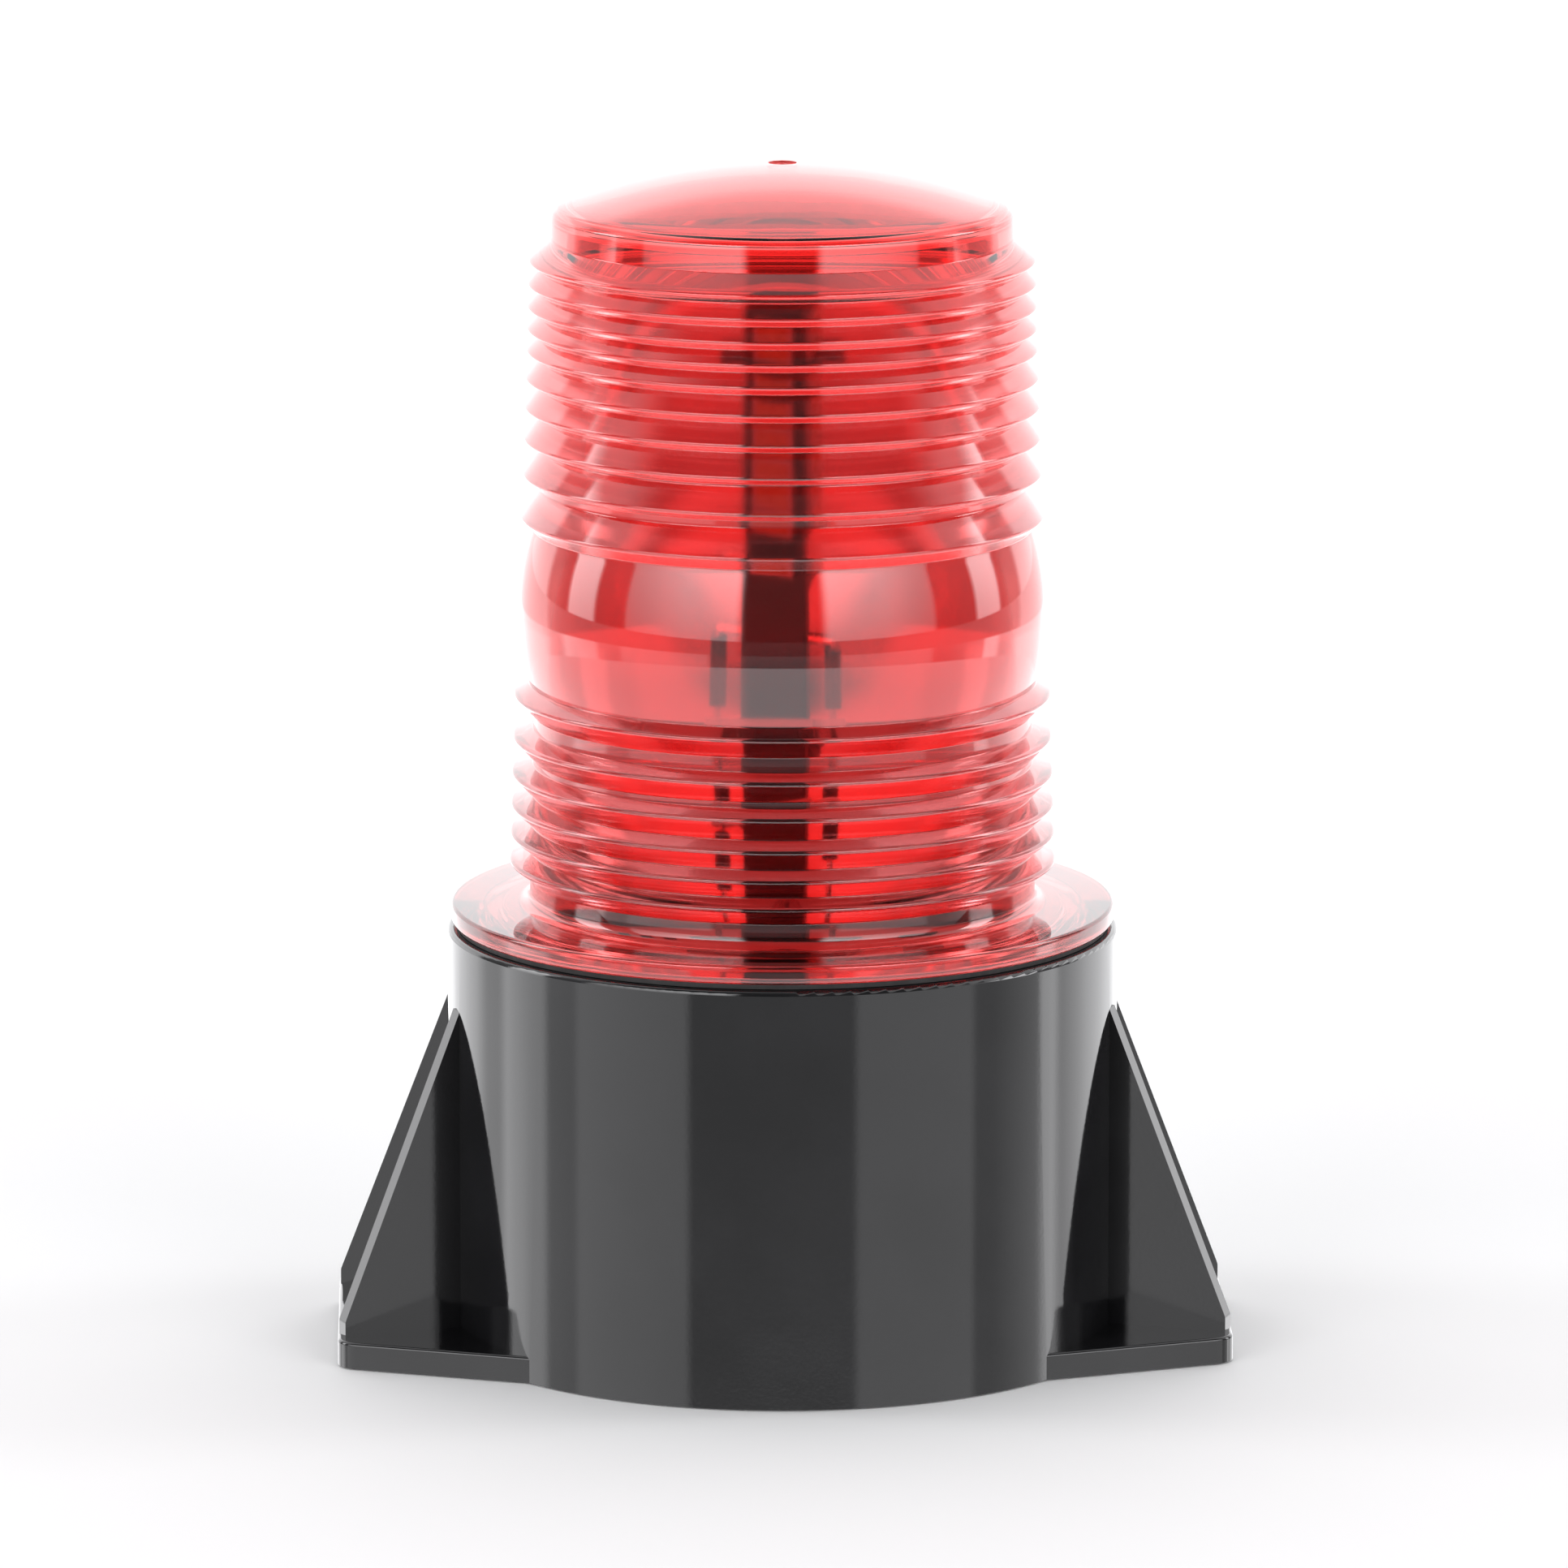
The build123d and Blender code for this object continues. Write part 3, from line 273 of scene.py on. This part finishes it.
def clear_tube(name):
    """Thin clear glass with a slight smear."""
    mat, g, shader, out = material(name)
    shader.inputs["Base Color"].default_value = rgb(0.93, 0.96, 0.95)
    shader.inputs["Transmission Weight"].default_value = 0.9
    shader.inputs["IOR"].default_value = 1.47
    g.feed(shader.inputs["Roughness"], g.spread(g.noise(400.0), 0.3, 0.7, 0.02, 0.08))
    return mat


def lamp_window(name):
    """Clear resin over a yellow phosphor, with the die grid faintly showing."""
    mat, g, shader, out = material(name)
    spots = g.put("TexVoronoi", {"Vector": g.put("TexCoord").outputs["Object"], "Scale": 900.0})
    dies = g.spread(spots.outputs["Distance"], 0.1, 0.6)
    g.feed(shader.inputs["Base Color"], g.tint(dies, rgb(0.42, 0.2, 0.04), rgb(0.5, 0.34, 0.12)))
    g.feed(shader.inputs["Roughness"], g.spread(g.noise(800.0), 0.3, 0.7, 0.12, 0.3))
    shader.inputs["Coat Weight"].default_value = 0.6
    return mat


MATERIALS = {
    "black_shell": moulded("black_shell", (0.0062, 0.0062, 0.0068), 0.075,
                           grain=2600.0, bump=0.05),
    "cover_plastic": moulded("cover_plastic", (0.012, 0.012, 0.013), 0.42, bump=0.25),
    "red_lens": clear_red("red_lens"),
    "rubber": moulded("rubber", (0.012, 0.012, 0.012), 0.72, grain=900.0, bump=0.3, ior=1.45),
    "screw_steel": turned("screw_steel", (0.62, 0.62, 0.64), 0.28),
    "sounder_plastic": moulded("sounder_plastic", (0.022, 0.022, 0.025), 0.38, bump=0.25),
    "brass": turned("brass", (0.78, 0.58, 0.27), 0.25, rings=500.0),
    "lead_insulation": moulded("lead_insulation", (0.5, 0.03, 0.025), 0.45, bump=0.1),
    "green_board": circuit_board("green_board", (0.012, 0.16, 0.055), (0.03, 0.3, 0.11)),
    "white_board": circuit_board("white_board", (0.8, 0.8, 0.78), (0.66, 0.66, 0.63)),
    "black_board": circuit_board("black_board", (0.012, 0.012, 0.013), (0.03, 0.03, 0.032)),
    "terminal_green": moulded("terminal_green", (0.05, 0.36, 0.1), 0.4, bump=0.15),
    "fuse_glass": clear_tube("fuse_glass"),
    "tinned_metal": turned("tinned_metal", (0.74, 0.74, 0.73), 0.22),
    "capacitor_can": moulded("capacitor_can", (0.05, 0.06, 0.12), 0.25, bump=0.05),
    "ferrite": moulded("ferrite", (0.03, 0.03, 0.034), 0.55, grain=700.0, bump=0.4),
    "copper": wound("copper", (0.74, 0.33, 0.14)),
    "component_black": moulded("component_black", (0.018, 0.018, 0.02), 0.5, bump=0.3),
    "heat_spreader": turned("heat_spreader", (0.72, 0.73, 0.75), 0.3, rings=600.0),
    "tower_black": moulded("tower_black", (0.008, 0.008, 0.009), 0.35, bump=0.2),
    "tower_pale": moulded("tower_pale", (0.8, 0.78, 0.72), 0.4, bump=0.15, spread=0.06),
    "lamp_package": moulded("lamp_package", (0.5, 0.5, 0.48), 0.35, bump=0.1, spread=0.04),
    "lamp_window": lamp_window("lamp_window"),
}
for name, node in frame["nodes"].items():
    node.data.materials.clear()
    node.data.materials.append(MATERIALS[slot_of[name]])


# ---- red lens -----------------------------------------------------------------------------
# The lens is turned from one outline and given its own fine mesh, because it is seen through.
# All lengths here are millimetres, as in the CAD part.

foot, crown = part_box("lens")
LENS_FOOT, LENS_TOP = foot[2] / MM, crown[2] / MM
FLANGE_R = crown[0] / MM
FLANGE_LOW, FLANGE_HIGH, FLANGE_ROUND = 52.1, 54.4, 0.4
SKIRT_IN, SKIRT_OUT, SKIRT_ROUND = 34.2, 36.2, 0.3
NECK_R, NECK_ROUND, LAST_RING_FALL = 30.9, 2.0, 2.2

# ring tips lie at these steps above the middle of the bulge, and the first six also below it
OPTIC_Z = 91.2
STEPS = (10.9, 16.1, 20.5, 24.4, 28.0, 31.4, 34.1, 36.8, 39.6, 42.4)
LOWER_RINGS = 6
UPPER_TIP_R, UPPER_TAPER = 31.95, -0.0275
LOWER_TIP_R, LOWER_TAPER = 33.0, 0.0435
UPPER_ROOT, LOWER_ROOT = 29.6, 30.5
RISER = 0.85                         # height of a ring's nearly flat side
SLOPE = 0.68                         # run over height of an upper ring's sloping side
TIP_ROUND, CREASE_ROUND, ROOT_ROUND = 0.4, 0.15, 0.3
SHORTEST_WALL = 0.1                  # a shorter wall between two rings is left out

BULGE_R, BULGE_ROUND = 32.06, 0.2
BULGE_HEAD_R, BULGE_HEAD_FALL = 30.35, 1.5
BULGE_FOOT_R, BULGE_FOOT_RISE = 30.9, 1.2
BULGE_POINTS = 28
BULGE_REACH = 9.5                    # height of the bulge over and under its middle

DOME_R, DOME_EDGE, DOME_EDGE_ROUND, WALL = 76.0, 27.3, 0.9, 2.1
DOME_POINTS = 24
CROWN_WALL_R, CROWN_WALL_FALL, CROWN_WALL_ROUND = 28.05, 0.9, 0.5
CROWN_WALL_FOOT, CROWN_WALL_FOOT_ROUND = (28.2, 136.1), 0.25
GATE_R, GATE_DEPTH, GATE_RIM_FALL, GATE_ROUND = 1.7, 0.5, 0.02, 0.1

INNER_FOOT_R = 28.6
INNER_HEAD, INNER_HEAD_ROUND = (27.3, 132.6), 3.0
INNER_SHOULDER, INNER_SHOULDER_ROUND = (26.05, 135.6), 2.0
INNER_DOME_EDGE, INNER_DOME_ROUND = 25.75, 1.5

TURNS = 288                          # steps round the turned mesh
SHARP_ANGLE = 38.0                   # degrees; flatter edges are shaded smooth
RING_REACH = 2.5                     # a ring lies within this height of its tip
THIN_FROM, THIN_OVER = 0.5, 2.8      # a ring thins from this far out of its root, over this width
LUG_ANGLES = 90, 210, 330
LUG_LEAD, LUG_ARC, LUG_REACH, LUG_THICK, LUG_Z = 12.0, 50.0, 1.7, 2.0, 45.8
LUG_STEPS, LUG_EASE = 24, 0.25


def arc_points(start, middle, end, count):
    """Points of the circle through three points, ends left out."""
    ax, ay = start
    bx, by = middle
    cx, cy = end
    d = 2 * (ax * (by - cy) + bx * (cy - ay) + cx * (ay - by))
    a2, b2, c2 = ax * ax + ay * ay, bx * bx + by * by, cx * cx + cy * cy
    x = (a2 * (by - cy) + b2 * (cy - ay) + c2 * (ay - by)) / d
    y = (a2 * (cx - bx) + b2 * (ax - cx) + c2 * (bx - ax)) / d
    radius = math.hypot(ax - x, ay - y)
    first = math.atan2(ay - y, ax - x)
    sweep = (math.atan2(cy - y, cx - x) - first + math.pi) % (2 * math.pi) - math.pi
    turns = [first + sweep * n / count for n in range(1, count)]
    return [(x + radius * math.cos(t), y + radius * math.sin(t)) for t in turns]


def rounded(corners, count=8):
    """The outline through (r, z, round) corners, each corner rounded to its radius."""
    line = []
    befores, afters = [corners[0]] + corners, corners[1:] + [corners[-1]]
    for before, (r, z, size), after in zip(befores, corners, afters):
        here = Vector((r, z))
        back, on = Vector(before[:2]) - here, Vector(after[:2]) - here
        if size <= 0 or back.length < 1e-6 or on.length < 1e-6:
            line.append((r, z))
            continue
        half = back.angle(on) / 2
        reach = min(size / math.tan(half), 0.48 * back.length, 0.48 * on.length)
        size = reach * math.tan(half)
        back, on = back.normalized(), on.normalized()
        start, end = here + back * reach, here + on * reach
        centre = here + (back + on).normalized() * (size / math.sin(half))
        middle = centre + (here - centre).normalized() * size
        line += [tuple(start), *arc_points(start, middle, end, count), tuple(end)]
    return line


def sphere_height(radius, r):
    """Height of the crown's outer or inner sphere at a distance r from the axis."""
    return LENS_TOP - DOME_R + math.sqrt(radius ** 2 - r ** 2)


def ring_tips():
    """The (r, z) of each ring's tip, from the top down, for the upper and the lower rings."""
    upper = [(UPPER_TIP_R + UPPER_TAPER * (step - STEPS[0]), OPTIC_Z + step)
             for step in reversed(STEPS)]
    lower = [(LOWER_TIP_R + LOWER_TAPER * (step - STEPS[0]), OPTIC_Z - step)
             for step in STEPS[:LOWER_RINGS]]
    return upper, lower


def crown_corners():
    """Gate mark, dome and crown wall, from the axis outwards."""
    rim, floor_z = LENS_TOP - GATE_RIM_FALL, LENS_TOP - GATE_DEPTH
    line = [(0.0, floor_z, 0), (GATE_R, floor_z, GATE_ROUND), (GATE_R, rim, GATE_ROUND)]
    for n in range(2, DOME_POINTS):
        r = DOME_EDGE * n / DOME_POINTS
        line.append((r, sphere_height(DOME_R, r), 0))
    edge = sphere_height(DOME_R, DOME_EDGE)
    return line + [(DOME_EDGE, edge, DOME_EDGE_ROUND),
                   (CROWN_WALL_R, edge - CROWN_WALL_FALL, CROWN_WALL_ROUND),
                   (*CROWN_WALL_FOOT, CROWN_WALL_FOOT_ROUND)]


def upper_ring_corners(upper):
    """Rings over the bulge, nearly flat underneath and sloping on top."""
    line = []
    for (tip_r, tip_z), (next_r, next_z) in zip(upper, upper[1:]):
        room = tip_z - next_z - RISER
        flank = min((next_r - UPPER_ROOT) / SLOPE, room)
        line += [(tip_r, tip_z, TIP_ROUND), (UPPER_ROOT, tip_z - RISER, CREASE_ROUND)]
        if room - flank > SHORTEST_WALL:
            line.append((UPPER_ROOT, next_z + flank, ROOT_ROUND))
    return line + [(*upper[-1], TIP_ROUND)]


def lower_ring_corners(lower):
    """Rings under the bulge, nearly flat on top and sloping underneath."""
    line = []
    for (tip_r, tip_z), (next_r, next_z) in zip(lower, lower[1:]):
        room = tip_z - next_z - RISER
        flank = min(tip_r - LOWER_ROOT, room)
        line.append((tip_r, tip_z, TIP_ROUND))
        if room - flank > SHORTEST_WALL:
            line.append((LOWER_ROOT, tip_z - flank, ROOT_ROUND))
        line.append((LOWER_ROOT, next_z + RISER, CREASE_ROUND))
    return line + [(*lower[-1], TIP_ROUND)]


def lens_outline():
    """Closed outline of the lens from the middle of its crown, down the outside, up the inside."""
    upper, lower = ring_tips()
    top = (BULGE_HEAD_R, upper[-1][1] - BULGE_HEAD_FALL)
    bottom = (BULGE_FOOT_R, lower[0][1] + BULGE_FOOT_RISE)
    bulge = arc_points(top, (BULGE_R, OPTIC_Z), bottom, BULGE_POINTS)
    line = crown_corners() + upper_ring_corners(upper)
    line += [(*top, BULGE_ROUND), *[(r, z, 0) for r, z in bulge], (*bottom, BULGE_ROUND)]
    line += lower_ring_corners(lower)
    line += [(NECK_R, lower[-1][1] - LAST_RING_FALL, ROOT_ROUND), (NECK_R, FLANGE_HIGH, NECK_ROUND),
             (FLANGE_R, FLANGE_HIGH, FLANGE_ROUND), (FLANGE_R, FLANGE_LOW, FLANGE_ROUND),
             (SKIRT_OUT, FLANGE_LOW, SKIRT_ROUND), (SKIRT_OUT, LENS_FOOT, SKIRT_ROUND),
             (SKIRT_IN, LENS_FOOT, SKIRT_ROUND), (SKIRT_IN, FLANGE_LOW, SKIRT_ROUND),
             (INNER_FOOT_R, FLANGE_LOW, SKIRT_ROUND), (*INNER_HEAD, INNER_HEAD_ROUND),
             (*INNER_SHOULDER, INNER_SHOULDER_ROUND),
             (INNER_DOME_EDGE, sphere_height(DOME_R - WALL, INNER_DOME_EDGE), INNER_DOME_ROUND)]
    for n in range(DOME_POINTS - 2, 0, -1):
        r = INNER_DOME_EDGE * n / DOME_POINTS
        line.append((r, sphere_height(DOME_R - WALL, r), 0))
    line.append((0.0, LENS_TOP - WALL, 0))
    return rounded(line)


def lathe(verts, faces, outline):
    """Adds the solid that the outline makes when it is turned about Z; its ends lie on the axis."""
    rows = []
    for r, z in outline:
        if r < 1e-6:
            rows.append([len(verts)] * TURNS)
            verts.append((0.0, 0.0, z * MM))
        else:
            rows.append(list(range(len(verts), len(verts) + TURNS)))
            for n in range(TURNS):
                t = 2 * math.pi * n / TURNS
                verts.append((r * MM * math.cos(t), r * MM * math.sin(t), z * MM))
    for row, under in zip(rows, rows[1:]):
        for n in range(TURNS):
            m = (n + 1) % TURNS
            corners = [row[n], under[n], under[m], row[m]]
            faces.append(tuple(dict.fromkeys(corners)))


def lug(verts, faces, angle):
    """One stretch of the quick thread on the skirt, a bar that climbs as it goes round."""
    inner, outer = SKIRT_OUT - 0.02, SKIRT_OUT + LUG_REACH
    near, ease = outer - LUG_EASE, 1 - LUG_EASE
    section = [(inner, -1), (near, -1), (outer, -ease), (outer, ease), (near, 1), (inner, 1)]
    first, size = len(verts), len(section)
    for n in range(LUG_STEPS + 1):
        turn = LUG_ARC * (n / LUG_STEPS - 0.5)
        t = math.radians(angle + turn)
        for r, side in section:
            z = LUG_Z + LUG_LEAD * turn / 360 + side * LUG_THICK / 2
            verts.append((r * MM * math.cos(t), r * MM * math.sin(t), z * MM))
    for n in range(LUG_STEPS):
        for k in range(size):
            a, b = first + n * size + k, first + n * size + (k + 1) % size
            faces.append((a, b, b + size, a + size))
    faces.append(tuple(reversed(range(first, first + size))))
    faces.append(tuple(range(first + LUG_STEPS * size, first + (LUG_STEPS + 1) * size)))


def mesh_piece(name, verts, faces, mat):
    """A smooth-shaded object, with its edges over the sharp angle left crisp."""
    mesh = bpy.data.meshes.new(name)
    mesh.from_pydata(verts, [], faces)
    mesh.validate()
    for polygon in mesh.polygons:
        polygon.use_smooth = True
    mesh.set_sharp_from_angle(angle=math.radians(SHARP_ANGLE))
    mesh.materials.append(mat)
    piece = bpy.data.objects.new(name, mesh)
    bpy.context.scene.collection.objects.link(piece)
    return piece


def face_outward(mesh):
    """Turns every face's normal to the outside of the solid."""
    work = bmesh.new()
    work.from_mesh(mesh)
    bmesh.ops.recalc_face_normals(work, faces=work.faces)
    work.to_mesh(mesh)
    work.free()


def mark_thin(mesh):
    """Stores how thin the plastic is: 0 on walls, up to 1 at the tips of the rings."""
    upper, lower = ring_tips()
    thin = mesh.attributes.new("thin", "FLOAT", "POINT")
    for vertex, value in zip(mesh.vertices, thin.data):
        x, y, z = vertex.co / MM
        r = math.hypot(x, y)
        near = min(abs(z - tip_z) for tip_r, tip_z in upper + lower)
        root = UPPER_ROOT if z > OPTIC_Z else LOWER_ROOT
        off_bulge = abs(z - OPTIC_Z) > BULGE_REACH
        on_ring = near < RING_REACH and off_bulge and z > FLANGE_HIGH + 2
        share = (r - root - THIN_FROM) / THIN_OVER
        value.value = min(1.0, max(0.0, share)) if on_ring else 0.0


verts, faces = [], []
lathe(verts, faces, lens_outline())
for angle in LUG_ANGLES:
    lug(verts, faces, angle)
lens = mesh_piece("red_ringed_lens", verts, faces, MATERIALS["red_lens"])
face_outward(lens.data)
mark_thin(lens.data)
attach(lens, "lens")
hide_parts("lens")


# ---- floor, light and camera --------------------------------------------------------------

def floor():
    """Plain pale table, one wide disc at the height of the underside."""
    count, radius = 96, 3.0
    turns = [2 * math.pi * n / count for n in range(count)]
    ring = [(radius * math.cos(t), radius * math.sin(t), 0.0) for t in turns]
    mesh = bpy.data.meshes.new("floor")
    mesh.from_pydata(ring, [], [tuple(range(count))])
    mat, g, shader, out = material("floor_pale")
    g.feed(shader.inputs["Base Color"],
           g.tint(g.noise(3.0), rgb(0.7, 0.7, 0.7), rgb(0.72, 0.72, 0.72)))
    shader.inputs["Roughness"].default_value = 0.8
    shader.inputs["Specular IOR Level"].default_value = 0.2
    mesh.materials.append(mat)
    piece = bpy.data.objects.new("floor", mesh)
    piece.location.z = low[2] - 0.0002
    piece.visible_glossy = False     # the shell mirrors the panels, not the table
    bpy.context.scene.collection.objects.link(piece)
    piece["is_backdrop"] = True


LIGHT_TOP = 12.0                     # the ramps hold light levels as a share of this

# light levels round the table, as (degrees from the camera's side, level)
BAND = [(-180, 2.3), (-132, 2.6), (-124, 1.9), (-116, 2.2), (-111, 3.8), (-97, 3.1), (-92, 3.0),
        (-89, 1.5), (-78, 1.4), (-75.5, 2.1), (-35, 1.8), (-32.5, 0.67), (22.5, 0.67), (25, 1.65),
        (66.5, 1.65), (69, 0.87), (76, 0.87), (92, 1.4), (97, 1.6), (99, 4.0), (106, 4.0),
        (110, 2.2), (128, 2.7), (150, 2.3), (180, 2.3)]
PANEL = [(-180, 2.1), (-130, 2.3), (-126, 0.6), (-110, 0.6), (-109, 8.5), (-93, 8.5), (-91, 0.6),
         (-75, 0.6), (-73, 3.4), (-45, 6.4), (-22, 7.0), (-18, 0.1), (15, 0.1), (19, 6.8),
         (45, 5.8), (68, 3.2), (70, 0.6), (92, 0.6), (94, 8.5), (108, 8.5), (110, 0.6), (126, 0.6),
         (130, 2.3), (180, 2.1)]
SHADE = [(-180, 1.7), (-128, 1.8), (-124, 0.8), (-22, 0.8), (-18, 0.25), (15, 0.25), (19, 0.8),
         (124, 0.8), (128, 1.8), (180, 1.7)]
TABLE = 2.6

# elevations in degrees where one zone of the tent gives way to the next
TABLE_TO_BAND = -15.1, -14.5
BAND_TO_SHADE = -9.8, -9.2
SHADE_TO_PANEL = -3.8, -3.2
PANEL_TO_ROOF = 27.0, 34.0


def level_ramp(g, turn, points):
    """Light level at each turn about the table, through (degrees, level) points."""
    shares = [(angle / 360 + 0.5, level / LIGHT_TOP) for angle, level in points]
    return g.math("MULTIPLY", g.stops(turn, shares), LIGHT_TOP)


def studio():
    """White light tent: soft panels round the table, a gap in front and bright side strips."""
    world = bpy.data.worlds.new("studio")
    world.use_nodes = True
    bpy.context.scene.world = world
    g = Graph(world.node_tree)
    way = g.put("SeparateXYZ", {0: g.put("TexCoord").outputs["Generated"]})
    x, y, z = way.outputs
    angle = g.math("ARCTAN2", x, g.math("MULTIPLY", y, -1.0))
    turn = g.math("ADD", g.math("DIVIDE", angle, 2 * math.pi), 0.5)
    rise = g.math("DEGREES", g.math("ARCSINE", z))

    behind = g.spread(g.math("ABSOLUTE", g.math("SUBTRACT", turn, 0.5)), 0.345, 0.36)
    lift = g.blend(behind, g.spread(rise, -3.0, 27.0, 0.45, 1.0, smooth=False), 1.0)
    panel = g.math("MULTIPLY", level_ramp(g, turn, PANEL), lift)
    roof = g.spread(y, -0.28, 0.02, 0.15, 1.6)
    level = g.blend(g.spread(rise, *TABLE_TO_BAND), TABLE, level_ramp(g, turn, BAND))
    level = g.blend(g.spread(rise, *BAND_TO_SHADE), level, level_ramp(g, turn, SHADE))
    level = g.blend(g.spread(rise, *SHADE_TO_PANEL), level, panel)
    level = g.blend(g.spread(rise, *PANEL_TO_ROOF), level, roof)
    glow = g.put("Background", {"Color": rgb(0.985, 0.985, 1.0), "Strength": level})
    out = g.put("OutputWorld")
    g.tree.links.new(glow.outputs[0], out.inputs["Surface"])


EYE = (-0.0405, -1.5541, 0.3753)     # worked out from how the photo's ellipses flatten
LOOKING_DOWN, TURNED = 11.159, -1.5  # degrees
SENSOR_WIDTH, FOCAL_LENGTH = 36.0, 297.6


def camera():
    """A long lens from the front, a little above the object, looking down at it."""
    data = bpy.data.cameras.new("camera")
    data.sensor_width = SENSOR_WIDTH
    data.lens = FOCAL_LENGTH
    data.clip_start, data.clip_end = 0.05, 20.0
    eye = bpy.data.objects.new("camera", data)
    eye.location = EYE
    eye.rotation_euler = (math.radians(90 - LOOKING_DOWN), 0.0, math.radians(TURNED))
    bpy.context.scene.collection.objects.link(eye)
    bpy.context.scene.camera = eye


floor()
studio()
camera()
bpy.context.scene.view_settings.view_transform = "Standard"
light_paths = bpy.context.scene.cycles   # light turns many times inside the rings
light_paths.max_bounces = 24
light_paths.glossy_bounces = 16
light_paths.transmission_bounces = 24

low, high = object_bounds()
